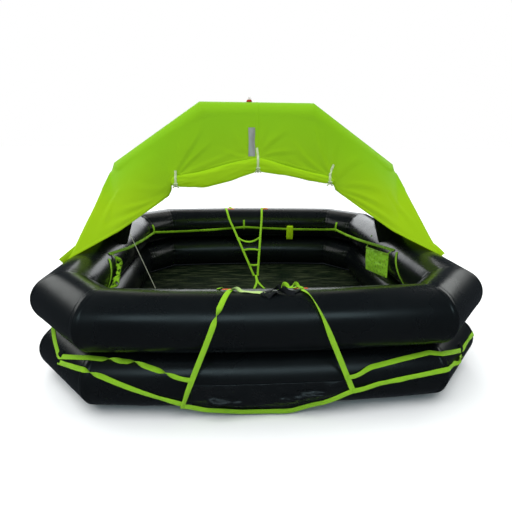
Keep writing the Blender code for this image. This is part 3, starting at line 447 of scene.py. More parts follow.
HEM_FALL_REAR = 1.17
HEM_FALL_OUT = 0.012
CURTAIN_EDGE = {-0.65: 1.20, -SHOULDER[0]: 1.25, -0.2: 1.31, 0.0: 1.345, 0.2: 1.30,
                SHOULDER[0]: 1.24, 0.585: 1.20}
COLUMN_PARTS = (3, 22, 10, 17, 2, 13, 11, 11, 11, 11, 10, 2, 19, 10, 22, 3)
ROW_PARTS = (38, 4, 4, 4, 4, 4, 4, 38)
RELAX_ROUNDS = 45
RELAX = 0.6
TAUT_RELAX = 0.03
KNEE_EASE = 0.4
EDGE_CALM_ROWS = 8
FOLD_WANDER = 0.012
CRUMPLE = 0.003


def arch_at(x):
    """The arch's middle and outward vector at x."""
    for i in range(1, 4):
        if x <= BENDS[i + 1].x + 1e-6:
            share = (x - BENDS[i].x) / (BENDS[i + 1].x - BENDS[i].x)
            out = ARCH_OUT[i]
            if share < 1e-6:
                out = BEND_OUT[i]
            elif share > 1 - 1e-6:
                out = BEND_OUT[i + 1]
            return BENDS[i].lerp(BENDS[i + 1], share), out


def side_hem(sign, y, degrees=HEM_DEGREES):
    """A point of the line along which the canopy is glued to a side tube."""
    a = math.radians(degrees)
    radius = TUBE_R + SKIN_GAP
    return Vector((sign * (HALF_X + radius * math.cos(a)), y, UPPER_Z + radius * math.sin(a)))


def hem_point(x, side):
    """The canopy's lower edge at x on the front, side -1, or the rear, side 1."""
    if x in HEM_FALL:
        z = HEM_FALL[x] if side < 0 else HEM_FALL_REAR
        return Vector((x, side * (DOOR_Y + HEM_FALL_OUT), z))
    if abs(x) < KNEE[0] - 1e-6:
        return Vector((x, side * DOOR_Y, CURTAIN_EDGE[x]))
    corner = side_hem(math.copysign(1, x), side * HALF_DEPTH, LAP_DEGREES)
    tie_x, tie_z = TIES[0 if x < 0 else 2]
    share = (abs(corner.x) - KNEE[0]) / (abs(corner.x) - abs(tie_x))
    return corner.lerp(Vector((tie_x, side * DOOR_Y, tie_z)), share) - UP * HEM_SLACK[side]


def arc_point(x, degrees):
    """A point of the canopy where it lies on the arch."""
    middle, out = arch_at(x)
    a = math.radians(degrees)
    return middle + (out * math.cos(a) + Vector((0, math.sin(a), 0))) * (ARCH_R + SKIN_GAP)


def taut_point(sign, degrees, side):
    """A point below the knee, where the cloth is drawn straight from the arch to the side tube."""
    if side:
        return hem_point(sign * KNEE[0], side).lerp(side_hem(sign, side * HALF_DEPTH, LAP_DEGREES),
                                                    TAUT_SHARE)
    corner = side_hem(sign, math.copysign(HALF_DEPTH, degrees), LAP_DEGREES)
    low = side_hem(sign, 0).lerp(corner, abs(degrees) / ARC[-1])
    return arc_point(sign * KNEE[0], 0).lerp(low, TAUT_SHARE)


def canopy_rows():
    """The canopy's main points: rows from the front edge to the rear one, columns left to right."""
    rows = []
    for degrees in ("front", *ARC, "rear"):
        side = {"front": -1, "rear": 1}.get(degrees)
        y = HALF_DEPTH * side if side else degrees / ARC[-1] * ARC_FOOT_HALF_Y
        row = [hem_point(x, side) if side else arc_point(x, degrees) for x in COLUMN_X]
        glued = [side_hem(sign, y) for sign in (-1, 1)]
        if side:
            laps = [side_hem(sign, y, LAP_DEGREES) for sign in (-1, 1)]
        else:
            laps = [glued[0].lerp(row[0], LAP_SHARE), glued[1].lerp(row[-1], LAP_SHARE)]
        taut = [taut_point(sign, degrees, side) for sign in (-1, 1)]
        rows.append([glued[0], laps[0], taut[0], *row, taut[1], laps[1], glued[1]])
    return np.array([[tuple(p) for p in row] for row in rows])


def refined(points, parts, axis):
    """The points with each interval along an axis cut into equal parts."""
    stations = np.concatenate([[0.0]] + [k + np.arange(1, n + 1) / n for k, n in enumerate(parts)])
    low = np.minimum(stations.astype(int), points.shape[axis] - 2)
    share = (stations - low).reshape([-1, 1, 1] if axis == 0 else [1, -1, 1])
    return np.take(points, low, axis) * (1 - share) + np.take(points, low + 1, axis) * share


def normals_of(grid):
    """Unit normals of a grid of points, outwards on a canopy whose rows run front to rear."""
    down = np.gradient(grid, axis=0)
    across = np.gradient(grid, axis=1)
    cross = np.cross(across, down)
    return cross / np.maximum(np.linalg.norm(cross, axis=2, keepdims=True), 1e-9)


def span(a, b):
    """The whole numbers from one of two to the other."""
    return range(min(a, b), max(a, b) + 1)


cloth = refined(refined(canopy_rows(), ROW_PARTS, 0), COLUMN_PARTS, 1)
rows, columns = cloth.shape[:2]
CURTAINS = ((0, ROW_PARTS[0]), (rows - 1, rows - 1 - ROW_PARTS[-1]))
LEG_COLUMNS = [[sum(COLUMN_PARTS[:k]) for k in (1, 2, 3)],
               [columns - 1 - sum(COLUMN_PARTS[-k:]) for k in (1, 2, 3)]]

# From the tube to the taut column, each corner of the cloth is two flat triangles.
for edge_row, arch_row in CURTAINS:
    for lap, taut, _ in LEG_COLUMNS:
        corner, hem = cloth[edge_row, lap].copy(), cloth[edge_row, taut].copy()
        foot, top = cloth[arch_row, lap].copy(), cloth[arch_row, taut].copy()
        for i in span(edge_row, arch_row):
            for j in span(lap, taut):
                v, u = abs(i - edge_row) / ROW_PARTS[0], abs(j - lap) / COLUMN_PARTS[1]
                third = hem * (u - v) + top * v if u > v else foot * (v - u) + top * u
                cloth[i, j] = corner * (1 - max(u, v)) + third

# From the taut column to the knee, the rows fan out from the knee's crown.
top_row = sum(ROW_PARTS[:4])
for edge_row, arch_row in CURTAINS:
    for _, taut, knee in LEG_COLUMNS:
        crown = cloth[top_row, knee].copy()
        for j in range(min(taut, knee) + 1, max(taut, knee)):
            s = abs(j - knee) / COLUMN_PARTS[2]
            ease = min(1, s / KNEE_EASE)
            for i in span(top_row, arch_row):
                shift = (crown + (cloth[i, taut] - crown) * s - cloth[i, j]) * ease
                cloth[i, j] += shift
                if i == arch_row:
                    for k in range(1, ROW_PARTS[0]):
                        row = edge_row + (k if edge_row == 0 else -k)
                        cloth[row, j] += shift * k / ROW_PARTS[0]

# The hanging cloth is smoothed until its slack is even.
free = np.zeros((rows, columns, 1))
curtain = ROW_PARTS[0]
open_rows = np.r_[1:curtain, rows - curtain:rows - 1]
free[open_rows, COLUMN_PARTS[0]:columns - COLUMN_PARTS[-1]] = TAUT_RELAX
free[open_rows, sum(COLUMN_PARTS[:3]):columns - sum(COLUMN_PARTS[-3:])] = RELAX
for _ in range(RELAX_ROUNDS):
    near = cloth.copy()
    near[1:-1, 1:-1] = (cloth[:-2, 1:-1] + cloth[2:, 1:-1] + cloth[1:-1, :-2] + cloth[1:-1, 2:]) / 4
    cloth = cloth * (1 - free) + near * free


def clear_of_arch(point):
    """The point, or where it lies inside the arch tube, the nearest one on the tube's skin."""
    bent = sum((point - BENDS[i]).dot(RISE[i - 1] + RISE[i]) > 0 for i in range(1, 5))
    foot = BENDS[bent] + RISE[bent] * (point - BENDS[bent]).dot(RISE[bent])
    away = point - foot
    return foot + away * max(1, (ARCH_R + SKIN_GAP) / away.length)


cloth = np.array([[tuple(clear_of_arch(Vector(p))) for p in row] for row in cloth])

# Folds of the front and rear: from (x, z) to (x, z), their height off the cloth and half width.
FOLDS = (((-0.65, 1.16), (-0.42, 1.62), 0.009, 0.016), ((-0.65, 1.16), (-0.58, 1.52), 0.007, 0.014),
         ((-0.65, 1.16), (-0.50, 1.58), 0.008, 0.012), ((-0.65, 1.16), (-0.66, 1.44), 0.005, 0.014),
         ((-0.65, 1.16), (-0.85, 1.38), 0.006, 0.022), ((-0.65, 1.16), (-0.33, 1.52), 0.006, 0.013),
         ((-0.65, 1.16), (-0.22, 1.36), 0.007, 0.018), ((-0.65, 1.17), (-0.10, 1.44), 0.004, 0.016),
         ((0.0, 1.34), (-0.26, 1.58), 0.005, 0.018), ((0.0, 1.34), (0.24, 1.60), 0.006, 0.02),
         ((0.0, 1.34), (0.34, 1.42), 0.005, 0.018), ((0.0, 1.34), (-0.36, 1.40), 0.004, 0.016),
         ((0.0, 1.34), (0.08, 1.62), 0.004, 0.012), ((0.0, 1.34), (-0.10, 1.62), 0.004, 0.012),
         ((0.585, 1.17), (0.42, 1.62), 0.009, 0.018), ((0.585, 1.17), (0.62, 1.50), 0.006, 0.02),
         ((0.585, 1.17), (0.86, 1.38), 0.007, 0.022), ((0.585, 1.17), (0.22, 1.50), 0.006, 0.02),
         ((0.585, 1.17), (0.50, 1.58), 0.005, 0.012), ((0.585, 1.17), (0.20, 1.36), 0.005, 0.016),
         ((-0.69, 1.08), (-1.10, 0.92), 0.006, 0.018), ((0.62, 1.12), (1.08, 0.96), 0.006, 0.018),
         ((-0.69, 1.07), (-1.20, 0.78), 0.007, 0.02), ((0.62, 1.11), (1.22, 0.76), 0.007, 0.02),
         ((-0.70, 1.12), (-1.02, 1.12), 0.005, 0.02), ((0.64, 1.14), (1.02, 1.12), 0.005, 0.02),
         ((-1.05, 1.12), (-1.20, 0.80), 0.005, 0.02), ((1.05, 1.12), (1.24, 0.78), 0.005, 0.02))


def folds_at(x, z, folds=FOLDS):
    """The height of all folds at points of a cloth that faces the front or the rear."""
    height = np.zeros_like(x)
    for (x0, z0), (x1, z1), rise, half in folds:
        dx, dz = x1 - x0, z1 - z0
        length = math.hypot(dx, dz)
        along = ((x - x0) * dx + (z - z0) * dz) / length ** 2
        off = ((x - x0) * dz - (z - z0) * dx) / length
        off = off + FOLD_WANDER * np.sin(along * 5 + x0 * 9)
        width = half * (0.45 + 0.9 * np.clip(along, 0, 1))
        fade = np.clip(along * 9, 0, 1) * np.clip((1 - along) * 2.2, 0, 1)
        ridge = np.exp(-(off / width) ** 2) - 0.5 * np.exp(-((off - 1.6 * width) / width) ** 2)
        height += rise * ridge * fade
    return height


wrinkles = folds_at(cloth[:, :, 0], cloth[:, :, 2])
soft = np.array([[noise.fractal(Vector(p) * 3.3, 0.9, 2.0, 3) for p in row] for row in cloth])
wrinkles = (wrinkles + CRUMPLE * soft)[:, :, None]
edge_calm = np.ones((rows, 1, 1))
edge_calm[curtain:rows - curtain] = 0
for k in range(EDGE_CALM_ROWS):
    edge_calm[curtain - 1 - k] = edge_calm[rows - curtain + k] = k / EDGE_CALM_ROWS
side_calm = np.ones((1, columns, 1))
side_calm[0, :COLUMN_PARTS[0] + 1] = side_calm[0, -COLUMN_PARTS[-1] - 1:] = 0
outside = normals_of(cloth)
cloth = cloth + outside * (CLOTH_LIFT + wrinkles * edge_calm * side_calm)


def canopy_fabric(name, glow):
    """The canopy's cloth; glow is the strength of a painted glow in the cloth's own colour, which
    stands in for light shining through the cloth.
    """
    finish = Finish(name, sheen_weight=0.03, sheen_roughness=0.4, emission_strength=glow,
                    specular_ior_level=0.12)
    at = finish.place()
    weave = finish.cloudy(at, 700, 1)
    crumple = finish.cloudy(at, 16, 5, 0.6)
    shade = finish.cloudy(at, 1.7, 3)
    off_arch = abs(finish.add("SeparateXYZ", {}, {"Vector": at}, 1))
    # Painted light: the cloth is painted yellower away from the arch, where light is taken to shine
    # through it, and greener where it lies on the arch, with soft random tone mixed in.
    painted_light_through = finish.between(off_arch, 0.08, 0.30) * 0.7 + shade * 0.3
    colour = finish.mix((0.160, 0.385, 0.006), (0.232, 0.388, 0.003), painted_light_through)
    # The emission in the cloth's own colour is a painted glow.
    return finish.wear(base_color=colour, emission_color=colour,
                       roughness=finish.between(crumple, 0.3, 0.7, 0.42, 0.55),
                       normal=finish.relief(weave, 0.0002, 0.2, finish.relief(crumple, 0.006, 0.25)))


# The rolled doors get a stronger painted glow than the canopy.
CANOPY_CLOTH = canopy_fabric("canopy_cloth", 0.27)
ROLLED_CLOTH = canopy_fabric("rolled_cloth", 0.55)


def solidify(obj, thick, offset=1.0):
    """Gives a sheet its cloth's thickness."""
    shell = obj.modifiers.new("thickness", "SOLIDIFY")
    shell.thickness = thick
    shell.offset = offset
    return obj


canopy = piece("canopy", cloth.reshape(-1, 3), skin_faces(rows, columns), CANOPY_CLOTH,
               "canopy_fabric", ["canopy_side_left", "canopy_side_right", "canopy_front_left",
                                 "canopy_front_right", "canopy_rear_left", "canopy_rear_right"])
solidify(canopy, CLOTH_T, 0)

canopy_skin = BVHTree.FromPolygons([tuple(p) for p in cloth.reshape(-1, 3)],
                                   skin_faces(rows, columns))
SEAM_W = 0.020
SEAM_T = 0.0012
COARSE_STEP = 0.012
HEM_W = 0.022
HEM_T = 0.0042
TAB_W = 0.042
TAB_FACES = (-0.62, -0.5, 0.44)
STRIP_X = -0.047
STRIP_Z = (1.352, 1.563)
STRIP_W = 0.052
STRIP_T = 0.0012
STRIP_LIFT = 0.0035
TABS = (((1.295, -0.45, 0.742), (1.322, -0.51, 0.716), (1.342, -0.57, 0.691),
         (1.352, -0.606, 0.672)),
        ((-1.295, -0.45, 0.742), (-1.326, -0.51, 0.716), (-1.362, -0.57, 0.684),
         (-1.395, -0.61, 0.655)))


def smoothed(stops, step):
    """Points and normals, about a step apart, on a smooth curve through (point, normal) stops."""
    stops = np.array([(*point, *normal) for point, normal in stops], float)
    gaps = np.linalg.norm(np.diff(stops[:, :3], axis=0), axis=1)
    slopes = np.gradient(stops, np.concatenate([[0], np.cumsum(gaps)]), axis=0)
    found = []
    for k, gap in enumerate(gaps):
        last = k == len(gaps) - 1
        for t in np.linspace(0, 1, max(2, round(gap / step) + 1))[:None if last else -1]:
            start, end = stops[k], stops[k + 1]
            found.append(start * (2 * t ** 3 - 3 * t ** 2 + 1) + end * (3 * t ** 2 - 2 * t ** 3)
                         + slopes[k] * gap * (t ** 3 - 2 * t ** 2 + t)
                         + slopes[k + 1] * gap * (t ** 3 - t ** 2))
    return [(Vector(row[:3]), Vector(row[3:]).normalized()) for row in found]


def web(stops, width, thick, twists=(), step=0.007, limp=0.0):
    """Flat webbing that lies on (point, normal) stops and turns near each (place, reach, angle)."""
    path = smoothed(stops, step)
    points = [point for point, _ in path]
    runs = np.cumsum([0] + [(b - a).length for a, b in zip(points, points[1:])])
    centres = [runs[min(range(len(points)), key=lambda k: (points[k] - Vector(at)).length)]
               for at, _, _ in twists]
    half, edge = width / 2, thick / 2
    outline = ((-half, 0), (edge - half, -edge), (0, -edge), (half - edge, -edge), (half, 0),
               (half - edge, edge), (0, edge), (edge - half, edge))
    verts, uv = [], []
    for k, (point, normal) in enumerate(path):
        tangent = (points[min(k + 1, len(points) - 1)] - points[max(k - 1, 0)]).normalized()
        side = tangent.cross(normal).normalized()
        up = side.cross(tangent)
        turn = limp * noise.noise(point * 9)
        for centre, (_, reach, angle) in zip(centres, twists):
            share = min(max((runs[k] - centre) / reach + 0.5, 0), 1)
            turn += math.radians(angle) * share * share * (3 - 2 * share)
        middle = point + up * (edge + abs(math.sin(turn)) * (half - edge))
        across = side * math.cos(turn) + up * math.sin(turn)
        over = up * math.cos(turn) - side * math.sin(turn)
        verts += [middle + across * a + over * b for a, b in outline]
        uv += [(a, runs[k]) for a, _ in outline]
    return verts, closed_faces(len(path), len(outline)), uv


def sewn(name, webs, material, slot, replaced=(), smooth=50):
    """One piece out of several lengths of webbing."""
    verts, faces, uv = [], [], []
    for more_verts, more_faces, more_uv in webs:
        faces += [tuple(k + len(verts) for k in face) for face in more_faces]
        verts += more_verts
        uv += more_uv
    return piece(name, verts, faces, material, slot, replaced, uv, smooth)


def on_canopy(x, z, side=-1, lift=0.0):
    """The point of the canopy's front, side -1, or rear, side 1, at x and z, with its normal."""
    at, normal, _, _ = canopy_skin.ray_cast(Vector((x, side * 3, z)), Vector((0, -side, 0)))
    normal = normal if normal.y * side > 0 else -normal
    return at + normal * (CLOTH_T / 2 + lift), normal


def over_canopy(x, degrees):
    """The point of the canopy over the arch at x; 0 degrees is its top and -90 the front."""
    middle, out = arch_at(x)
    a = math.radians(degrees)
    away = out.normalized() * math.cos(a) + Vector((0, math.sin(a), 0))
    at, _, _, _ = canopy_skin.ray_cast(middle + away * 2, -away)
    return at + away * CLOTH_T / 2, away


seam_front = [on_canopy(0.0, z) for z in np.linspace(1.36, 1.68, 10)]
seam_rear = [on_canopy(0.0, z, 1) for z in np.linspace(1.68, 1.36, 10)]
seam_top = [over_canopy(0.0, degrees) for degrees in range(-60, 61, 12)]
sewn("canopy_seam", [web(seam_front + seam_top + seam_rear, SEAM_W, SEAM_T, step=COARSE_STEP)],
     CANOPY_CLOTH, "canopy_fabric")
hems = []
for row, nearby in ((0, 1), (rows - 1, rows - 2)):
    line = cloth[row] * 0.35 + cloth[nearby] * 0.65
    hems.append(web([(line[j] - outside[row, j] * HEM_T / 2, outside[row, j])
                     for j in range(2, columns - 2, 2)], HEM_W, HEM_T, step=COARSE_STEP))
sewn("canopy_hems", hems, CANOPY_CLOTH, "canopy_fabric")
tabs = []
for stops in TABS:
    faced = Vector((math.copysign(TAB_FACES[0], -stops[0][0]), *TAB_FACES[1:]))
    tabs.append(web([(Vector(at), faced) for at in stops], TAB_W, CLOTH_T))
sewn("canopy_tabs", tabs, CANOPY_CLOTH, "canopy_fabric")

strip_finish = Finish("reflective_tape", metallic=0.35)
strip_at = strip_finish.place()
strip_grain = strip_finish.add("TexVoronoi", {}, {"Vector": strip_at, "Scale": 900})
strip_tone = strip_finish.cloudy(strip_at, 30, 4)
strip_colour = strip_finish.mix((0.30, 0.31, 0.28), (0.42, 0.43, 0.40), strip_tone)
REFLECTIVE = strip_finish.wear(base_color=strip_colour,
                               roughness=strip_finish.between(strip_tone, 0.3, 0.7, 0.32, 0.45),
                               normal=strip_finish.relief(strip_grain, 0.0003, 0.3))
strips = []
for side in (-1, 1):
    taut = [on_canopy(STRIP_X, z, side, STRIP_LIFT)
            for z in (STRIP_Z[0], sum(STRIP_Z) / 2, STRIP_Z[1])]
    strips.append(web(taut, STRIP_W, STRIP_T))
sewn("reflective_strips", strips, REFLECTIVE, "canopy_fabric")

# Rolled doors: the loose flap that closes each end of the canopy, rolled up under its edge and
# tied with three white tapes. The cloth bulges between the tapes and is drawn in under them.
ROLL_BOTTOM = {-0.68: 1.115, -0.65: 1.125, -SHOULDER[0]: 1.105, -0.2: 1.16, 0.0: 1.24, 0.2: 1.205,
               SHOULDER[0]: 1.165, 0.585: 1.145, 0.615: 1.135}
ROLL_HALF = 0.021
ROLL_TUCK = 0.004
ROLL_SET = 0.003
PINCH_IN = 0.42
PINCH_FLAT = 0.12
ROLL_ENDS = (-0.675, 0.61)
ROLL_STATIONS = 150
ROLL_SIDES = 44
TIE_X = (-0.634, 0.0, 0.569)
TIE_W = 0.018
TIE_T = 0.0012
TIE_PINCH = 0.022
TIE_REACH = {-0.634: (0.0, 0.040), 0.0: (-0.008, 0.075), 0.569: (0.030, 0.090)}
END_TAPER = 0.03
PUFF_CAP = 0.007
PUFF_PRESSURE = 4.0
PUFF_VOXEL = 0.005
PUFF_FRAMES = 20
CREASE_RISE = 0.0022
CREASES_ROUND = 9
CREASE_REACH = 0.07
LOOSE_RISE = 0.0045
BOTH_ENDS = (("front", -1), ("rear", 1))


def read_off(table, x, spread=0.03):
    """The value at x of a table of points, with its corners rounded off."""
    at, values = zip(*sorted(table.items()))
    return float(np.mean(np.interp(x + np.linspace(-spread, spread, 7), at, values)))


def roll_section(x, side):
    """The rolled door's middle, half height, and half depth at x."""
    top, bottom = read_off(CURTAIN_EDGE, x) + ROLL_TUCK, read_off(ROLL_BOTTOM, x)
    near = min(abs(x - tie) for tie in TIE_X)
    end = min(x - ROLL_ENDS[0], ROLL_ENDS[1] - x)
    full = math.sqrt(min(max(end, 0) / END_TAPER, 1)) * 0.9 + 0.1
    pinch = 1 - PINCH_IN * math.exp(-(near / TIE_PINCH) ** 2)
    middle = Vector((x, side * (DOOR_Y + ROLL_SET), (top + bottom) / 2))
    rise = (top - bottom) / 2 * full * (1 - PINCH_FLAT * (1 - pinch))
    return middle, rise, ROLL_HALF * full * pinch


def roll_point(x, side, degrees, lift=0.0):
    """A point of the roll's skin and its normal: 0 degrees faces away from the raft, 90 is up."""
    middle, rise, depth = roll_section(x, side)
    a = math.radians(degrees)
    normal = Vector((0, side * math.cos(a) * rise, math.sin(a) * depth)).normalized()
    point = middle + Vector((0, side * math.cos(a) * depth, math.sin(a) * rise))
    return point + normal * lift, normal


def puffed(obj, cap, pressure, held):
    """Swells closed cloth with air; no point moves further than cap, and held points stay."""
    remesh = obj.modifiers.new("cloth_net", "REMESH")
    remesh.mode = "VOXEL"
    remesh.voxel_size = PUFF_VOXEL
    net = bpy.data.meshes.new_from_object(obj.evaluated_get(bpy.context.evaluated_depsgraph_get()))
    obj.modifiers.clear()
    obj.data = net
    start = np.empty(len(net.vertices) * 3)
    net.vertices.foreach_get("co", start)
    start = start.reshape(-1, 3)
    pins = obj.vertex_groups.new(name="held")
    for k, point in enumerate(start):
        pins.add([k], held(point), "REPLACE")
    cloth_net = obj.modifiers.new("air", "CLOTH")
    settings = cloth_net.settings
    settings.vertex_group_mass = "held"
    settings.use_pressure = True
    settings.uniform_pressure_force = pressure
    settings.effector_weights.gravity = 0
    settings.quality = 4
    for number in range(1, PUFF_FRAMES + 1):
        bpy.context.scene.frame_set(number)
    swollen = obj.evaluated_get(bpy.context.evaluated_depsgraph_get())
    moved = np.empty(len(net.vertices) * 3)
    swollen.data.vertices.foreach_get("co", moved)
    step = moved.reshape(-1, 3) - start
    far = np.linalg.norm(step, axis=1, keepdims=True)
    start += step * np.minimum(1, cap / np.maximum(far, 1e-9))
    obj.modifiers.clear()
    net.vertices.foreach_set("co", start.ravel())
    net.shade_smooth()
    bpy.context.scene.frame_set(1)
    subdivided = obj.modifiers.new("fine", "SUBSURF")
    subdivided.levels = subdivided.render_levels = 1


def toned(name, grain, colours, gloss, relief, ribs=0, **constants):
    """A material whose colour and gloss follow one soft noise, and so does its relief.

    On woven stuff the relief is ribs across the cloth instead, so many radians of them a metre.
    """
    finish = Finish(name, **constants)
    tone = finish.cloudy(finish.place(), *grain)
    low, high = (0.2, 0.8) if ribs else (0.3, 0.7)
    height = (finish.across(1) * ribs).sine() if ribs else tone
    return finish.wear(base_color=finish.mix(*colours, tone),
                       roughness=finish.between(tone, low, high, *gloss),
                       normal=finish.relief(height, *relief))


WHITE_TAPE = toned("white_tape", (40, 3), ((0.44, 0.58, 0.24), (0.66, 0.74, 0.48)), (0.6, 0.75),
                   (0.0002, 0.4), ribs=3000, sheen_weight=0.2)

for face_name, side in BOTH_ENDS:
    verts = []
    for x in np.linspace(*ROLL_ENDS, ROLL_STATIONS):
        near = min(abs(x - tie) for tie in TIE_X)
        for k in range(ROLL_SIDES):
            degrees = 360 * k / ROLL_SIDES
            a = math.radians(degrees)
            crease = math.sin(math.radians(degrees * CREASES_ROUND) + 30 * abs(x) ** 1.5)
            crease *= math.exp(-near / CREASE_REACH)
            loose = noise.fractal(Vector((x * 5, math.cos(a) * 1.6, math.sin(a) * 1.6 + side)),
                                  0.8, 2, 3)
            lift = CREASE_RISE * crease + LOOSE_RISE * loose
            verts.append(roll_point(x, side, degrees, lift)[0])
    roll = piece(f"door_roll_{face_name}_cloth", verts, closed_faces(ROLL_STATIONS, ROLL_SIDES),
                 ROLLED_CLOTH, "canopy_fabric", [f"door_roll_{face_name}"])
    puffed(roll, PUFF_CAP, PUFF_PRESSURE,
           lambda point: max(math.exp(-((point[0] - tie) / TIE_PINCH) ** 2) for tie in TIE_X))
    ties = []
    for x in TIE_X:
        edge_z = read_off(CURTAIN_EDGE, x)
        lean, reach = TIE_REACH[x]
        over = [on_canopy(x + lean * t, edge_z + 0.018 + (reach - 0.018) * t, side, 0.001)
                for t in (1, 0.7, 0.35, 0.1)]
        round_it = [roll_point(x, side, degrees, 0.004) for degrees in range(60, -241, -25)]
        ties.append(web(over + round_it, TIE_W, TIE_T, limp=0.25))
        for lean in (-1, 1):
            knot, away = roll_point(x, side, -35, 0.006)
            tail = [(knot, away), (knot + Vector((lean * 0.012, side * 0.004, -0.012)), away),
                    (knot + Vector((lean * 0.022, side * 0.002, -0.026)), away)]
            ties.append(web(tail, TIE_W * 0.6, TIE_T, limp=0.5))
        bow = [roll_point(x + step, side, -25, 0.007) for step in (-0.016, -0.005, 0.005, 0.016)]
        ties.append(web(bow, TIE_W * 0.9, 0.007))
    sewn(f"door_ties_{face_name}", ties, WHITE_TAPE, "canopy_fabric")

# Canopy lamp: a base of moulded red plastic, fixed on top of the arch, with a clear dome pressed
# into it over the bulb.
LAMP_X = -0.06
LAMP_SIDES = 40
base_low, base_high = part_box("lamp_base")
dome_low, dome_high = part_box("lamp_dome")
BASE_R = (base_high.x - base_low.x) / 2
DOME_R = (dome_high.x - dome_low.x) / 2


def turned(centre, axis, profile, sides=LAMP_SIDES):
    """A turned piece: profile holds (distance along the axis, radius) pairs."""
    axis = Vector(axis).normalized()
    side = axis.orthogonal().normalized()
    up = axis.cross(side)
    verts = []
    for along, radius in profile:
        for k in range(sides):
            a = 2 * math.pi * k / sides
            verts.append(Vector(centre) + axis * along
                         + (side * math.cos(a) + up * math.sin(a)) * radius)
    return verts, closed_faces(len(profile), sides)


RED_PLASTIC = toned("red_plastic", (60, 4), ((0.42, 0.012, 0.008), (0.56, 0.024, 0.015)),
                    (0.28, 0.42), (0.0004, 0.2))
dome_finish = Finish("clear_dome", coat_weight=0.6, coat_roughness=0.05)
dome_tone = dome_finish.cloudy(dome_finish.place(), 90, 2)
dome_colour = dome_finish.mix((0.74, 0.66, 0.66), (0.88, 0.86, 0.85), dome_tone)
CLEAR_DOME = dome_finish.wear(base_color=dome_colour,
                              roughness=dome_finish.between(dome_tone, 0.3, 0.7, 0.08, 0.16))
base_rise = base_high.z - base_low.z
base_profile = [(0, BASE_R * 0.97), (0.0008, BASE_R), (base_rise * 0.22, BASE_R),
                (base_rise * 0.28, BASE_R * 0.97), (base_rise * 0.34, BASE_R * 0.86),
                (base_rise * 0.78, BASE_R * 0.82), (base_rise * 0.92, BASE_R * 0.78),
                (base_rise, BASE_R * 0.72), (base_rise, 0.0005)]
piece("lamp_base_moulding", *turned((LAMP_X, 0, base_low.z), UP, base_profile), RED_PLASTIC,
      "lamp_plastic", ["lamp_base"], smooth=35)
dome_rise = dome_high.z - dome_low.z
dome_profile = [(0, DOME_R), (dome_rise * 0.12, DOME_R), (dome_rise * 0.15, DOME_R * 0.93)]
dome_profile += [(dome_rise * (0.15 + 0.85 * math.sin(math.radians(a))),
                  DOME_R * 0.93 * math.cos(math.radians(a)) + 0.0003) for a in range(8, 91, 8)]
piece("lamp_dome_moulding", *turned((LAMP_X, 0, dome_low.z), UP, dome_profile), CLEAR_DOME,
      "lamp_glass", ["lamp_dome"], smooth=35)

# Boarding straps: yellow-green webbing, glued to patches on top of the upper tube, down over
# both tubes to the strap that edges the apron. The left one has turned over once on its way.
STRAP_W = 0.04
STRAP_SEEN = 0.75
STRAP_T = 0.0022
STRAP_LIFT = 0.0012
STRAPS = ((-0.22, -0.374), (0.18, 0.444))
EDGE_STRAP = {-0.48: 0.085, -0.36: 0.05, -0.167: 0.03, 0.115: 0.024, 0.30: 0.08, 0.40: 0.136,
              0.455: 0.165}
EDGE_STRAP_Y = 1.425
EDGE_STRAP_LIFT = 0.0095
EDGE_STRAP_X = (-0.485, 0.46)
RED_PATCH_HALF = 0.038
RED_PATCH_W = 0.022
RED_PATCH_T = 0.0014
RED_PATCH_DEGREES = 101
STRAP_TURNS = {True: ((9, 0.13, 180), (17, 0.26, 48)), False: ((3, 0.12, 58), (12, 0.25, -58))}


def share_of(i, along, outside):
    """The share of tube i where X, on the front and rear, or else Y has the value along."""
    start, end = mitred(i, outside)
    axis = 0 if i in (FRONT, REAR) else 1
    return (along - start[axis]) / (end[axis] - start[axis])


def on_skin(i, share, degrees, ring_z, lift=0.0):
    """A point over the skin of tube i with its normal."""
    a = math.radians(degrees)
    outside = (TUBE_R + lift) * math.cos(a)
    point = ring_point(i, share, outside, ring_z + (TUBE_R + lift) * math.sin(a))
    ahead = ring_point(i, share, outside, 0, 0.01) - ring_point(i, share, outside, 0, -0.01)
    level = Vector((ahead.y, -ahead.x, 0)).normalized()
    return point, level * math.cos(a) + UP * math.sin(a)


def end_skin(side, x, degrees, ring_z, lift=0.0):
    """A point over the skin of the front tube, side -1, or the rear tube, side 1, at x."""
    i = FRONT if side < 0 else REAR
    outside = (TUBE_R + lift) * math.cos(math.radians(degrees))
    return on_skin(i, share_of(i, x, outside), degrees, ring_z, lift)


def edge_strap_point(x, side, lift=0.0):
    """A point of the strap along the apron's lower edge, with its normal."""
    z = read_off(EDGE_STRAP, x, 0.02)
    rise = min(max((z + STRAP_W / 2 - LOWER_Z) / TUBE_R, -1), 0)
    outside = TUBE_R * math.cos(math.asin(rise))
    skin = ring_point(FRONT, share_of(FRONT, x, outside), outside, z)
    return Vector((x, side * (max(EDGE_STRAP_Y, EDGE_STRAP_LIFT - skin.y) + lift), z)), \
        Vector((0, side, 0))


# The webbing glows faintly in its own colour: a painted glow that brightens it in shade.
web_finish = Finish("green_webbing", sheen_weight=0.03, sheen_roughness=0.5, emission_strength=0.09,
                    specular_ior_level=0.2)
web_across = web_finish.across(0)
web_along = web_finish.across(1)
web_tone = web_finish.cloudy(web_finish.place(), 22, 4)
web_ribs = (web_along * 2600).sine() * 0.5 + (abs(web_across) * 3600).sine() * 0.5
web_colour = web_finish.mix((0.17, 0.40, 0.010), (0.26, 0.50, 0.020), web_tone)
WEBBING = web_finish.wear(base_color=web_colour, emission_color=web_colour,
                          roughness=web_finish.between(web_tone, 0.2, 0.8, 0.6, 0.8),
                          normal=web_finish.relief(web_ribs, 0.0005, 0.5))


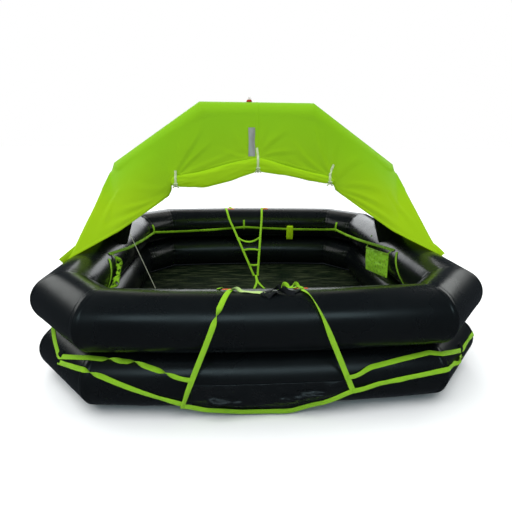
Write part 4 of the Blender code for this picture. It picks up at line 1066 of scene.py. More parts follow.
def boarding_strap(side, x_top, slope):
    """Stops of one strap, from the top of the upper tube to the apron's edge strap."""
    stops = []
    for degrees in range(98, -1, -7):
        x = x_top + slope * TUBE_R * math.radians(90 - degrees)
        stops.append(end_skin(side, x, degrees, UPPER_Z, STRAP_LIFT))
    x_end = min(EDGE_STRAP) if slope < 0 else max(EDGE_STRAP)
    if slope < 0:
        x_low = x_top + slope * (TUBE_R * math.pi / 2 + UPPER_Z - LOWER_Z)
        stops.append(end_skin(side, x_low, 0, LOWER_Z, STRAP_LIFT))
    return stops + [edge_strap_point(x_end, side, 0.001)]


for face_name, side in BOTH_ENDS:
    webs = [web([edge_strap_point(x, side) for x in np.linspace(*EDGE_STRAP_X, 24)],
                STRAP_W * STRAP_SEEN, STRAP_T, limp=0.12)]
    for x_top, slope in STRAPS:
        stops = boarding_strap(side, x_top, slope)
        turns = [(stops[min(k, len(stops) - 2)][0], reach, angle)
                 for k, reach, angle in STRAP_TURNS[slope * side > 0]]
        webs.append(web(stops, STRAP_W * STRAP_SEEN, STRAP_T, turns, limp=0.1))
    sewn(f"boarding_webbing_{face_name}", webs, WEBBING, "webbing", [f"boarding_straps_{face_name}"])

RED_PATCH = toned("red_patch", (50, 4), ((0.55, 0.06, 0.015), (0.75, 0.14, 0.03)), (0.45, 0.6),
                  (0.0005, 0.3))
for face_name, side in BOTH_ENDS:
    webs = []
    for x_top, _ in STRAPS:
        stops = [end_skin(side, x_top + step, RED_PATCH_DEGREES, UPPER_Z, 0.0004)
                 for step in (-RED_PATCH_HALF, 0, RED_PATCH_HALF)]
        webs.append(web(stops, RED_PATCH_W, RED_PATCH_T))
    sewn(f"strap_patches_{face_name}", webs, RED_PATCH, "webbing")

# Lashing on the front tube: a pale tape, a doubled black strap and the loop of a green one lie
# across the top of the tube between the boarding straps.
PALE_TAPE = toned("pale_tape", (35, 3), ((0.30, 0.48, 0.10), (0.52, 0.68, 0.28)), (0.6, 0.75),
                  (0.0003, 0.4), ribs=2600, sheen_weight=0.2)
BLACK_WEBBING = toned("black_webbing", (35, 3), ((0.004, 0.005, 0.006), (0.012, 0.013, 0.015)),
                      (0.4, 0.6), (0.0004, 0.5), ribs=2600, sheen_weight=0.02,
                      specular_ior_level=0.15)


def lashing(route):
    """Stops over the front tube from (x, degrees, lift) triples."""
    return [end_skin(-1, x, degrees, UPPER_Z, lift) for x, degrees, lift in route]


pale = web(lashing([(-0.215, 96, 0.002), (-0.18, 90, 0.004), (-0.14, 86, 0.003), (-0.10, 84, 0.002),
                    (-0.065, 82, 0.003), (-0.03, 78, 0.004)]), 0.022, 0.0014,
           [((-0.155, -1.21, 0.70), 0.09, 180)], limp=0.5)
sewn("lashing_tape", [pale], PALE_TAPE, "webbing")
black = [web(lashing([(-0.045, 72, 0.003), (-0.02, 80, 0.004), (0.015, 86, 0.006), (0.05, 90, 0.004),
                      (0.085, 86, 0.005), (0.12, 82, 0.003), (0.165, 90, 0.002)]), 0.032, 0.002,
             [((0.03, -1.22, 0.70), 0.12, 180)], limp=0.6),
         web(lashing([(-0.02, 68, 0.002), (0.0, 74, 0.006), (0.03, 79, 0.008), (0.07, 80, 0.007),
                      (0.10, 77, 0.004), (0.13, 74, 0.002)]), 0.030, 0.002,
             [((0.07, -1.25, 0.69), 0.10, 150)], limp=0.7)]
sewn("lashing_strap", black, BLACK_WEBBING, "webbing")
loop = web(lashing([(0.19, 97, 0.003), (0.165, 95, 0.012), (0.14, 97, 0.020), (0.115, 93, 0.012),
                    (0.085, 96, 0.020), (0.06, 92, 0.010), (0.05, 88, 0.005)]), 0.024, 0.0016,
           [((0.14, -1.21, 0.71), 0.07, 180), ((0.085, -1.21, 0.71), 0.07, 160)], limp=0.6)
sewn("lashing_loop", [loop], WEBBING, "webbing")

# Boarding aprons: a flap of thin coated fabric at each end, glued along its top edge to the
# lower tube and sewn into the strap below, where its slack gathers in glossy folds.
APRON_X = (-0.43, 0.43)
APRON_TOP = 0.22
APRON_LIFT = 0.002
APRON_SET = 0.0115
APRON_T = 0.0014
APRON_NET = (120, 44)
APRON_SLACK = 0.006
APRON_FOLD = 0.009
APRON_RIDGE = 0.010
APRON_FOLDS = (((-0.36, 0.140), (0.08, 0.060), 0.032, 0.033),
               ((0.32, 0.150), (0.02, 0.090), 0.018, 0.026))

apron_finish = Finish("apron_fabric")
apron_at = apron_finish.place((1, 1, 2.2))
apron_folds = apron_finish.cloudy(apron_at, 14, 5, 0.6)
apron_colour = apron_finish.mix((0.0028, 0.0036, 0.0042), (0.0060, 0.0074, 0.0084), apron_folds)
APRON_FABRIC = apron_finish.wear(base_color=apron_colour,
                                 roughness=apron_finish.between(apron_folds, 0.3, 0.7, 0.14, 0.30),
                                 normal=apron_finish.relief(apron_folds, 0.010, 0.5))


def apron_point(x, side, share):
    """The apron's inner face: it follows the lower tube and then hangs to the edge strap."""
    low, _ = edge_strap_point(x, side)
    z = APRON_TOP + (low.z - APRON_TOP) * share

    def skin_y(height):
        outside = math.sqrt(TUBE_R ** 2 - (height - LOWER_Z) ** 2)
        return -ring_point(FRONT, share_of(FRONT, x, outside), outside, height).y + APRON_LIFT

    y = skin_y(z)
    if z < LOWER_Z:
        hang = (LOWER_Z - z) / (LOWER_Z - low.z)
        y = max(y, skin_y(LOWER_Z) * (1 - hang) + (abs(low.y) - APRON_SET) * hang)
    slack = math.sin(math.pi * min(share * 1.05, 1)) * min(1, (0.42 - abs(x)) / 0.08)
    folds = noise.fractal(Vector((x * 4.2, z * 14 + x * 3, side * 2.0)), 0.8, 2.1, 4)
    ridge = abs(noise.noise(Vector((x * 3.0 + z * 2, z * 22 - x * 5, side * 5.0))))
    lie = APRON_SLACK + APRON_FOLD * folds + APRON_RIDGE * ridge
    lie += float(folds_at(x, z, APRON_FOLDS))
    return Vector((x, side * (y + max(slack, 0) * lie), z))


for face_name, side in BOTH_ENDS:
    across_count, down_count = APRON_NET
    grid = [apron_point(x, side, share) for share in np.linspace(0, 1, down_count)
            for x in np.linspace(*APRON_X, across_count)]
    faces = skin_faces(down_count, across_count)
    if side > 0:
        faces = [tuple(reversed(face)) for face in faces]
    apron = piece(f"boarding_apron_{face_name}_cloth", grid, faces, APRON_FABRIC, "tube_fabric",
                  [f"boarding_apron_{face_name}"])
    solidify(apron, APRON_T, 1)

# Outer lifelines: webbing held by a patch on each side tube and chamfer and slack between them,
# with a lower branch at each corner. The ends are sewn to the boarding straps, and some lengths
# have turned over.
LINE_W = 0.028
LINE_T = 0.002
LINE_LIFT = 0.0015
LINE_LIMP = 0.3
CROSSING = 0.036
OVER_STRAP = {-1: STRAP_LIFT + 0.0038, 1: EDGE_STRAP_LIFT + 0.0023}
UPPER_BRANCH = {-1: ((-0.57, 36), (-0.735, 53)), 1: ((0.57, 36), (0.75, 46), (0.92, 54))}
UPPER_MITRE = {-1: 60, 1: 50}
SIDE_MITRE = {-1: 62, 1: 20}
UPPER_END = {-1: (-0.42, 0.257), 1: (0.418, 0.25)}
PATCH = {-1: 28, 1: 20}
PATCH_FOOT = 10.5
PATCH_REACH = 17
PATCH_W = 0.05
PATCH_T = 0.0044
SIDE_SAG = 12
LOWER_BRANCH = {-1: ((-0.62, -8), (-0.75, 9), (-0.90, 28)), 1: ((0.62, 6), (0.80, 14))}
LOWER_MITRE = {-1: 39, 1: 22}
LOWER_END = {-1: 0.10, 1: 0.165}
RUN_SPACING = 0.03
LINE_TURN = 0.13
TURNS = {"front_left": ((-0.56, -1.39, 0.28), (-0.72, -1.345, 0.315), (-0.86, -1.32, 0.33)),
         "lower_front_left": ((-0.97, -1.36, 0.25),), "lower_front_right": ((1.12, -1.27, 0.22),)}


def skin_place(i, along, degrees):
    """The (tube, share, degrees) place on a tube's skin where X or Y has the value along."""
    return i, share_of(i, along, TUBE_R * math.cos(math.radians(degrees))), degrees


def skin_run(stops, ring_z, lift):
    """Stops over one tube's skin through (tube, share, degrees) places."""
    found = []
    for (i, share, degrees), (_, next_share, next_degrees) in zip(stops, stops[1:]):
        length = (CORNERS[(i + 1) % 8] - CORNERS[i]).length * abs(next_share - share)
        count = max(2, round(length / RUN_SPACING), round(abs(next_degrees - degrees) / 8))
        for k in range(count):
            t = k / count
            found.append(on_skin(i, share + (next_share - share) * t,
                                 degrees + (next_degrees - degrees) * t, ring_z, lift))
    return found + [on_skin(*stops[-1], ring_z, lift)]


def chained(runs, ring_z, lift):
    """One path through several tubes; each run ends at the mitre where the next one starts."""
    found = []
    for stops in runs:
        found = found[:-1] + skin_run(stops, ring_z, lift)
    return found


def branch_end(x, z, outside, side):
    """Where a branch lies over a boarding strap."""
    point = ring_point(FRONT, share_of(FRONT, x, outside), outside, z)
    return Vector((point.x, -side * point.y, z)), Vector((0, side, 0))


def outer_line(sign):
    """The stops of the lifeline round one side of the raft, from the front strap to the rear one."""
    tubes = (FRONT_LEFT, LEFT, REAR_LEFT) if sign < 0 else (FRONT_RIGHT, RIGHT, REAR_RIGHT)

    def share(t):
        return 1 - t if sign < 0 else t

    patch, sag = PATCH[sign], PATCH[sign] - SIDE_SAG
    front_stops = [skin_place(FRONT, *place) for place in UPPER_BRANCH[sign]]
    front_stops.append((FRONT, share(1), UPPER_MITRE[sign]))
    rear_stops = [(REAR, 1 - t, d) for _, t, d in reversed(front_stops)]
    rear_mitre = patch if sign < 0 else UPPER_MITRE[sign]
    rear_stops[0] = (REAR, share(0), rear_mitre)
    runs = [front_stops,
            [(tubes[0], share(0), UPPER_MITRE[sign]), (tubes[0], share(0.5), patch),
             (tubes[0], share(1), SIDE_MITRE[sign])],
            [(tubes[1], share(0), SIDE_MITRE[sign]), (tubes[1], share(0.25), sag),
             (tubes[1], share(0.5), patch), (tubes[1], share(0.75), sag), (tubes[1], share(1), patch)],
            [(tubes[2], share(0), patch), (tubes[2], share(0.5), patch),
             (tubes[2], share(1), rear_mitre)],
            rear_stops]
    x, z = UPPER_END[sign]
    face = TUBE_R + OVER_STRAP[sign]
    first_x, first_degrees = UPPER_BRANCH[sign][0]
    first_z = LOWER_Z + TUBE_R * math.sin(math.radians(first_degrees))
    beside_z = z + (first_z - z) * CROSSING / (abs(first_x) - abs(x))
    ends = [branch_end(x, z, face, -1), branch_end(x + sign * CROSSING, beside_z, face, -1)]
    rear_ends = [branch_end(x + sign * CROSSING, beside_z, face, 1), branch_end(x, z, face, 1)]
    return ends + chained(runs, LOWER_Z, LINE_LIFT) + rear_ends


def lower_line(sign, side):
    """The stops of a lower branch, from a boarding strap's lower end to the next patch."""
    far = {(-1, -1): FRONT_LEFT, (1, -1): FRONT_RIGHT, (-1, 1): REAR_LEFT, (1, 1): REAR_RIGHT}
    chamfer = far[sign, side]
    near = FRONT if side < 0 else REAR
    mitre_share = 1 if (near, sign) in ((FRONT, 1), (REAR, -1)) else 0
    stops = [skin_place(near, *place) for place in LOWER_BRANCH[sign]]
    stops.append((near, mitre_share, LOWER_MITRE[sign]))
    end_degrees = PATCH[sign] - PATCH_FOOT
    runs = [stops, [(chamfer, 1 - mitre_share, LOWER_MITRE[sign]), (chamfer, 0.5, end_degrees)]]
    if chamfer == REAR_LEFT:
        runs[0][-1] = (near, mitre_share, end_degrees)
        runs[1][0] = (chamfer, 1 - mitre_share, end_degrees)
    x = min(EDGE_STRAP) if sign < 0 else max(EDGE_STRAP)
    over, normal = edge_strap_point(x, side, 0.0038)
    over.z = LOWER_END[sign]
    first_x, first_degrees = LOWER_BRANCH[sign][0]
    first_z = LOWER_Z + TUBE_R * math.sin(math.radians(first_degrees))
    climb = (first_z - over.z) * CROSSING / (abs(first_x) - abs(x))
    beside = over + Vector((sign * CROSSING, 0, climb))
    return [(over, normal), (beside, normal)] + chained(runs, LOWER_Z, LINE_LIFT)


for sign, name in ((-1, "left"), (1, "right")):
    turns = [(at, LINE_TURN, 180) for at in TURNS.get(f"front_{name}", ())]
    sewn(f"lifeline_{name}_webbing",
         [web(outer_line(sign), LINE_W, LINE_T, turns, limp=LINE_LIMP)], WEBBING, "webbing",
         [f"lifeline_{name}"])
    for face_name, side in BOTH_ENDS:
        turns = [(at, LINE_TURN, 180) for at in TURNS.get(f"lower_{face_name}_{name}", ())]
        sewn(f"lower_branch_{face_name}_{name}",
             [web(lower_line(sign, side), LINE_W, LINE_T, turns, limp=LINE_LIMP)], WEBBING,
             "webbing", [f"lifeline_lower_{face_name}_{name}"])

patches = []
for i in (FRONT_LEFT, LEFT, REAR_LEFT, FRONT_RIGHT, RIGHT, REAR_RIGHT):
    patch = PATCH[-1] if i in (FRONT_LEFT, LEFT, REAR_LEFT) else PATCH[1]
    stops = [on_skin(i, 0.5, degrees, LOWER_Z, 0.0008)
             for degrees in range(patch - PATCH_REACH, patch + PATCH_REACH + 1, 4)]
    patches.append(web(stops, PATCH_W, PATCH_T))
sewn("lifeline_patches", patches, TUBE_FABRIC, "tube_fabric")

# Inner lifelines: narrower webbing round the cockpit that hangs from short loops glued to the
# wall of the upper tube, its ends laid over the side tubes.
SMALL_W = 0.024
SMALL_T = 0.0018
INNER_LIFT = 0.003
LOOP_DEGREES = (8, -27)
MIDDLE_X = -0.07
MIDDLE_DEGREES = 185
REAR_ENDS = {-1: ((-0.05, 157), (-0.40, 135)), 1: ((-0.31, 143), (0.207, 170))}
FRONT_ENDS = {-1: ((-0.46, 143), (-0.66, 205)), 1: ((-0.58, 207), (-0.36, 143))}
INNER_SAG = 0.010


def side_stops(sign, ends):
    """The lifeline's run along a side tube between two (y, degrees) places."""
    return [skin_place(RIGHT if sign > 0 else LEFT, *end) for end in ends]


def wall_loops(first, end_tube, last, degrees, last_share=0.5):
    """Where the loops carry the lifeline past an end tube, from one chamfer to the next."""
    middle = (end_tube, share_of(end_tube, MIDDLE_X, -TUBE_R), MIDDLE_DEGREES)
    return [(first, 0.5, degrees), middle, (last, last_share, degrees)]


REAR_LOOPS = wall_loops(REAR_RIGHT, REAR, REAR_LEFT, 185, 0.9)
FRONT_LOOPS = wall_loops(FRONT_LEFT, FRONT, FRONT_RIGHT, 190)


def hanging(start, end, sag, count=7):
    """Stops between two held (point, normal) ends, with a little slack."""
    found = []
    for t in np.linspace(0, 1, count):
        point = start[0].lerp(end[0], t) - UP * (4 * t * (1 - t) * sag)
        found.append((point, start[1].lerp(end[1], t)))
    return found


inner_runs = {"rear": (side_stops(1, REAR_ENDS[1]), REAR_LOOPS, side_stops(-1, REAR_ENDS[-1])),
              "front": (side_stops(-1, FRONT_ENDS[-1]), FRONT_LOOPS, side_stops(1, FRONT_ENDS[1]))}
for face_name, (before, corners, after) in inner_runs.items():
    held = [on_skin(*stop, UPPER_Z, INNER_LIFT) for stop in corners]
    first = skin_run(before, UPPER_Z, INNER_LIFT)
    last = skin_run(after, UPPER_Z, INNER_LIFT)
    webs = [web(first, SMALL_W, SMALL_T, limp=0.15), web(last, SMALL_W, SMALL_T, limp=0.15)]
    for start, end in zip([first[-1]] + held, held + [last[0]]):
        webs.append(web(hanging(start, end, INNER_SAG), SMALL_W, SMALL_T, limp=0.35))
    for i, share, degrees in corners:
        stops = [on_skin(i, share, degrees + step, UPPER_Z, 0.0008 + 0.004 * math.sin(t * math.pi))
                 for t, step in zip(np.linspace(0, 1, 9), np.linspace(*LOOP_DEGREES, 9))]
        webs.append(web(stops, SMALL_W * 0.9, SMALL_T))
    sewn(f"inner_lifeline_{face_name}", webs, WEBBING, "webbing", [f"lifeline_inner_{face_name}"])

# Boarding ladders: two webbing legs from the top of each end tube to the middle of the floor,
# with slack webbing rungs sewn across, and two loose ends that lie spread on the floor.
LADDER_TOP = (-0.28, 0.146)
LADDER_FOOT = (0.03, 0.07)
LADDER_Y = 0.72
LADDER_BENDS = {"front": (99, 106, 115, 130, 145), "rear": (84, 92, 100, 115, 130, 145)}
LADDER_DRIFT = 0.1
LADDER_LIFT = 0.002
RUNGS = ((0.36, 0.055), (0.58, -0.012), (0.82, 0.006))
LEGS = ((0.009, 0.336), (0.129, 0.305))
LEG_LAP = 0.02

for face_name, side in BOTH_ENDS:
    webs, lines = [], []
    for x_top, x_foot in zip(LADDER_TOP, LADDER_FOOT):
        drift = LADDER_DRIFT * (x_foot - x_top) / 45
        stops = [end_skin(side, x_top + drift * max(degrees - 100, 0), degrees, UPPER_Z, LADDER_LIFT)
                 for degrees in LADDER_BENDS[face_name]]
        start, normal = stops[-1]
        foot = Vector((x_foot, side * LADDER_Y, FLOOR_TOP + 0.004))
        lines.append((start, foot, normal))
        stops += [(start.lerp(foot, t), normal) for t in (0.25, 0.5, 0.75, 1)]
        webs.append(web(stops, SMALL_W, SMALL_T, limp=0.45))
    for share, sag in RUNGS:
        ends = [(start.lerp(foot, share) + normal * 0.0022, normal) for start, foot, normal in lines]
        webs.append(web(hanging(ends[0], ends[1], sag), SMALL_W * 0.9, SMALL_T, limp=0.5))
    root = Vector((sum(LADDER_FOOT) / 2, side * (LADDER_Y + LEG_LAP), FLOOR_TOP + 0.003))
    for k, (x, y) in enumerate(LEGS):
        tip = Vector((x, side * y, FLOOR_TOP + 0.002))
        bend = root.lerp(tip, 0.5) + Vector(((0.02, -0.025)[k], 0, 0.003))
        webs.append(web([(root, UP), (bend, UP), (tip, UP)], SMALL_W, SMALL_T, limp=0.4))
    sewn(f"ladder_{face_name}_webbing", webs, WEBBING, "webbing", [f"boarding_ladder_{face_name}"])

# Pouches: a large one of translucent green sheet with brass eyelets hangs from the lifeline on
# the right wall, and a small sewn one hangs from the rear lifeline.
POUCH = ((0.207, 0.505), (-0.291, 0.583), (-0.312, 0.382), (0.171, 0.291))
POUCH_NET = (44, 30)
POUCH_DEPTH = 0.040
EYELETS = ((0.93, 0.30), (0.07, 0.30), (0.93, 0.93))
EYELET_R = 0.009
TAG_X = 0.46
TAG_Z = (0.03, -0.13)
TAG_HALF = 0.038
TAG_DEPTH = 0.018
TAG_GAP = 0.0045
TAG_NET = 22

# The sheet glows in its own colour: a painted glow that stands in for light shining through it.
sheet_finish = Finish("green_sheet", coat_weight=0.06, coat_roughness=0.3, emission_strength=0.30,
                      specular_ior_level=0.25)
sheet_at = sheet_finish.place()
sheet_tone = sheet_finish.cloudy(sheet_at, 14, 5, 0.65)
sheet_specks = sheet_finish.between(sheet_finish.cloudy(sheet_at, 55, 2), 0.60, 0.66)
sheet_colour = sheet_finish.mix(sheet_finish.mix((0.15, 0.40, 0.015), (0.30, 0.58, 0.04), sheet_tone),
                                (0.03, 0.09, 0.015), sheet_specks * 0.8)
GREEN_SHEET = sheet_finish.wear(base_color=sheet_colour, emission_color=sheet_colour,
                                roughness=sheet_finish.between(sheet_tone, 0.3, 0.7, 0.3, 0.5),
                                normal=sheet_finish.relief(sheet_tone, 0.006, 0.5))
brass_finish = Finish("brass")
brass_tone = brass_finish.cloudy(brass_finish.place(), 80, 4)
brass_colour = brass_finish.mix((0.42, 0.28, 0.09), (0.66, 0.47, 0.18), brass_tone)
BRASS = brass_finish.wear(base_color=brass_colour,
                          roughness=brass_finish.between(brass_tone, 0.3, 0.7, 0.25, 0.42),
                          metallic=brass_finish.between(brass_tone, 0.75, 0.9, 1.0, 0.7),
                          normal=brass_finish.relief(brass_tone, 0.0003, 0.2))

wall_x = HALF_X - TUBE_R


def pouch_at(s, t, depth):
    """A point of the pouch, s along it from its rear top corner and t down it."""
    top = Vector((wall_x - depth, *POUCH[0])).lerp(Vector((wall_x - depth, *POUCH[1])), s)
    low = Vector((wall_x - depth, *POUCH[3])).lerp(Vector((wall_x - depth, *POUCH[2])), s)
    return top.lerp(low, t)


def pouch_belly(s, t):
    """How far the pouch's face stands off its back."""
    swell = 0
    if 0 < s < 1:
        swell = (math.sin(math.pi * s) * math.sin(math.pi * min(t * 0.9 + 0.1, 1))) ** 0.5
    lumps = noise.fractal(Vector((s * 5, t * 4, 3.1)), 0.8, 2, 3)
    return 0.004 + POUCH_DEPTH * swell * (0.8 + 0.35 * lumps)


def bag_faces(rows, columns):
    """Faces of a closed bag: a net of points, then another, joined all round their edges."""
    count = rows * columns
    net = skin_faces(rows, columns)
    rim = list(range(columns)) + [k * columns + columns - 1 for k in range(1, rows)]
    rim += [(rows - 1) * columns + k for k in range(columns - 2, -1, -1)]
    rim += [k * columns for k in range(rows - 2, 0, -1)]
    back = [tuple(count + k for k in reversed(face)) for face in net]
    return net + back + [(a, count + a, count + b, b) for a, b in zip(rim, rim[1:] + rim[:1])]


across_count, down_count = POUCH_NET
face_points = [pouch_at(s, t, pouch_belly(s, t)) for t in np.linspace(0, 1, down_count)
               for s in np.linspace(0, 1, across_count)]
back_points = [pouch_at(s, t, 0.001) for t in np.linspace(0, 1, down_count)
               for s in np.linspace(0, 1, across_count)]
pouch = piece("side_pouch", face_points + back_points, bag_faces(down_count, across_count),
              GREEN_SHEET, "canopy_fabric", ["pouch"])
rings = []
for s, t in EYELETS:
    middle = pouch_at(s, t, pouch_belly(s, t) - 0.0005)
    ring = [(0, EYELET_R), (0.0012, EYELET_R * 0.95), (0.0020, EYELET_R * 0.75),
            (0.0014, EYELET_R * 0.55), (0.0002, EYELET_R * 0.5)]
    verts, faces = turned(middle, (-1, 0, 0), ring, 24)
    rings.append((verts, faces, [(0, 0)] * len(verts)))
sewn("pouch_eyelets", rings, BRASS, "brass")
pouch_webs = [web([(pouch_at(s, 0.015, pouch_belly(s, 0.0) + 0.001), Vector((-1, 0, 0.2)))
                   for s in np.linspace(-0.01, 1.01, 9)], 0.02, SMALL_T, limp=0.2)]
for s in (0.02, 0.98):
    low = pouch_at(s, 0.02, 0.006)
    up = on_skin(RIGHT, share_of(RIGHT, low.y, -TUBE_R * 0.8), 143, UPPER_Z, 0.003)
    pouch_webs.append(web([(low, Vector((-1, 0, 0.1))), (low.lerp(up[0], 0.5), up[1]), up], 0.016,
                          SMALL_T, limp=0.3))
sewn("pouch_webbing", pouch_webs, WEBBING, "webbing")

near_loop, far_loop = [on_skin(*stop, UPPER_Z, INNER_LIFT)[0] for stop in REAR_LOOPS[:2]]
tag_spot = near_loop.lerp(far_loop, (near_loop.x - TAG_X) / (near_loop.x - far_loop.x))
tag_along = (far_loop - near_loop).normalized()
tag_inward = Vector((-tag_along.y, tag_along.x, 0)).normalized()
verts = []
for face_side in (0, 1):
    for t in np.linspace(0, 1, TAG_NET):
        for s in np.linspace(-1, 1, TAG_NET):
            round_off = 1 - 0.10 * max(0, abs(2 * t - 1) - 0.7) / 0.3
            swell = ((1 - s * s) * (1 - (2 * t - 1) ** 2)) ** 0.4
            lumps = 0.9 + 0.25 * noise.noise(Vector((s * 2, t * 3, 0)))
            depth = TAG_GAP + face_side * (0.001 + TAG_DEPTH * swell * lumps)
            verts.append(tag_spot + tag_inward * depth + tag_along * s * TAG_HALF * round_off
                         + UP * (TAG_Z[0] + (TAG_Z[1] - TAG_Z[0]) * t))
tag = piece("rear_pouch", verts, bag_faces(TAG_NET, TAG_NET), CANOPY_CLOTH, "canopy_fabric",
            ["tag_pouch"])

# Rescue line: a length of green webbing that is thrown to people in the water, knotted up on
# itself and hung by a short end from the cockpit side of the left upper tube.
KNOTS = ((-0.385, 0.60, 0.018), (-0.41, 0.575, 0.030), (-0.44, 0.55, 0.022), (-0.475, 0.53, 0.034),
         (-0.52, 0.50, 0.024), (-0.56, 0.475, 0.032), (-0.60, 0.44, 0.016))
KNOT_TURNS = 3.3
KNOT_STOPS = 60
KNOT_WINDS = (1, -1.2, 0.6)
STRAND_W = 0.017
STRAND_T = 0.002
knot_path, knot_r = [], []
for y, z, radius in KNOTS:
    degrees = 180 - math.degrees(math.asin((z - UPPER_Z) / (TUBE_R + radius)))
    knot_path.append(on_skin(LEFT, share_of(LEFT, y, -TUBE_R), degrees, UPPER_Z, radius + 0.002))
    knot_r.append(radius)
core = smoothed(knot_path, 0.012)
strands = []
for strand, winds in enumerate(KNOT_WINDS):
    stops = []
    for k in range(KNOT_STOPS):
        t = k / (KNOT_STOPS - 1)
        point, normal = core[min(int(t * (len(core) - 1)), len(core) - 1)]
        ahead = (core[-1][0] - core[0][0]).normalized()
        side_way = ahead.cross(normal).normalized()
        radius = float(np.interp(t * (len(knot_r) - 1), range(len(knot_r)), knot_r)) - 0.005
        a = 2 * math.pi * (KNOT_TURNS * t * winds + strand / 3)
        away = normal * math.cos(a) + side_way * math.sin(a)
        stops.append((point + away * radius * (0.75 + 0.25 * math.sin(9 * t + strand)), away))
    strands.append(web(stops, STRAND_W, STRAND_T, step=0.006, limp=0.4))
top_point, top_normal = core[0]
hang = on_skin(LEFT, share_of(LEFT, -0.36, -TUBE_R), 138, UPPER_Z, 0.003)
strands.append(web([hang, (hang[0].lerp(top_point, 0.5), top_normal), (top_point, top_normal)],
                   0.02, STRAND_T))
low_point, low_normal = core[-1]
for k, reach in enumerate((0.06, 0.035)):
    tail = low_point + Vector((0.006 * k, -0.02 - 0.01 * k, -reach))
    strands.append(web([(low_point, low_normal), (low_point.lerp(tail, 0.5), low_normal),
                        (tail, low_normal)], 0.018, STRAND_T, limp=0.4))
sewn("rescue_line_webbing", strands, WEBBING, "webbing", ["rescue_line"])

# Stay: a thin pale line of four laid strands, tied to the left leg of the arch and drawn taut to
# the floor.
STAY_TOP = 0.72
STAY_FOOT = (-0.99, 0.40)
STAY_R = 0.003
a = math.radians(180 - 22.5)
stay_top = BENDS[0].lerp(BENDS[1], (STAY_TOP - UPPER_Z) / (KNEE[1] - UPPER_Z))
stay_top += (ARCH_OUT[0] * math.cos(a) + Vector((0, math.sin(a), 0))) * (ARCH_R + STAY_R)
stay_foot = Vector((*STAY_FOOT, FLOOR_TOP + 0.004))
# The line glows in its own colour: a painted glow that keeps it bright in the canopy's shade.
line_finish = Finish("pale_line", emission_strength=0.25)
line_tone = line_finish.cloudy(line_finish.place(), 120, 3)
line_colour = line_finish.mix((0.72, 0.76, 0.56), (0.86, 0.88, 0.74), line_tone)
PALE_LINE = line_finish.wear(base_color=line_colour, emission_color=line_colour,
                             roughness=line_finish.between(line_tone, 0.3, 0.7, 0.6, 0.75))


def braided(start, end, radius, strands=4, pitch=0.016, sides=8):
    """A laid line: round strands that wind about each other between two points."""
    ahead = (end - start).normalized()
    side_way = ahead.orthogonal().normalized()
    up = ahead.cross(side_way)
    length = (end - start).length
    stations = round(length / 0.004)
    verts, faces = [], []
    for strand in range(strands):
        faces += closed_faces(stations + 1, sides, len(verts))
        for k in range(stations + 1):
            s = length * k / stations
            a = 2 * math.pi * (s / pitch + strand / strands)
            middle = start + ahead * s + (side_way * math.cos(a) + up * math.sin(a)) * radius * 0.52
            for j in range(sides):
                b = 2 * math.pi * j / sides
                verts.append(middle + (side_way * math.cos(b) + up * math.sin(b)) * radius * 0.48)
    return verts, faces


piece("stay_line_braid", *braided(stay_top, stay_foot, STAY_R), PALE_LINE, "line", ["stay_line"])

# Gas bottle: a painted steel bottle in the crease between the tubes at the rear left, in two
# webbing bands, with a brass head whose hose feeds the upper tube.
BOTTLE_R = 0.065
BOTTLE_L = 0.42
BOTTLE_DOME = 0.75
BOTTLE_SIDES = 64
BAND_AT = 0.1
BAND_LINK = 0.13
BAND_LIFT = 0.001
HOSE_R = 0.007
HOSE_SIDES = 14
INLET_SHARE = 0.93
HOSE_BENDS = ((0.03, 0.006, 0), (0.035, 0.04, 0.03), (0.03, 0.045, 0.09))
steel_finish = Finish("grey_paint", coat_weight=0.25, coat_roughness=0.2)
steel_at = steel_finish.place()
steel_tone = steel_finish.cloudy(steel_at, 30, 5)
steel_chips = steel_finish.between(steel_finish.cloudy(steel_at, 70, 4, 0.7), 0.66, 0.70)
steel_colour = steel_finish.mix(steel_finish.mix((0.10, 0.105, 0.11), (0.15, 0.155, 0.16), steel_tone),
                                (0.05, 0.035, 0.025), steel_chips)
GREY_PAINT = steel_finish.wear(base_color=steel_colour,
                               roughness=steel_finish.between(steel_tone, 0.3, 0.7, 0.3, 0.45),
                               normal=steel_finish.relief(steel_tone - steel_chips, 0.0004, 0.4))
bottle_out = math.sqrt((TUBE_R + BOTTLE_R + 0.0006) ** 2 - ((UPPER_Z - LOWER_Z) / 2) ** 2)
bottle_middle = ring_point(REAR_LEFT, 0.5, bottle_out, CREASE_Z)
bottle_along, bottle_away = ALONG[REAR_LEFT], OUTWARD[REAR_LEFT]
dome = BOTTLE_R * BOTTLE_DOME
profile = [(-BOTTLE_L / 2 + dome * (1 - math.cos(math.radians(a))),
            BOTTLE_R * math.sin(math.radians(a))) for a in range(20, 91, 7)]
profile += [(-x, r) for x, r in reversed(profile)]
piece("gas_bottle_body", *turned(bottle_middle, bottle_along, profile, BOTTLE_SIDES), GREY_PAINT,
      "painted_steel", ["gas_bottle"], smooth=35)


def wall_stop(spot, degrees, ring_z):
    """A stop on the rear left tube's skin abreast of spot."""
    a = math.radians(degrees)
    normal = bottle_away * math.cos(a) + UP * math.sin(a)
    point = CORNERS[REAR_LEFT] + bottle_along * (spot - CORNERS[REAR_LEFT]).dot(bottle_along)
    point.z = ring_z
    return point + normal * (TUBE_R + BAND_LIFT), normal


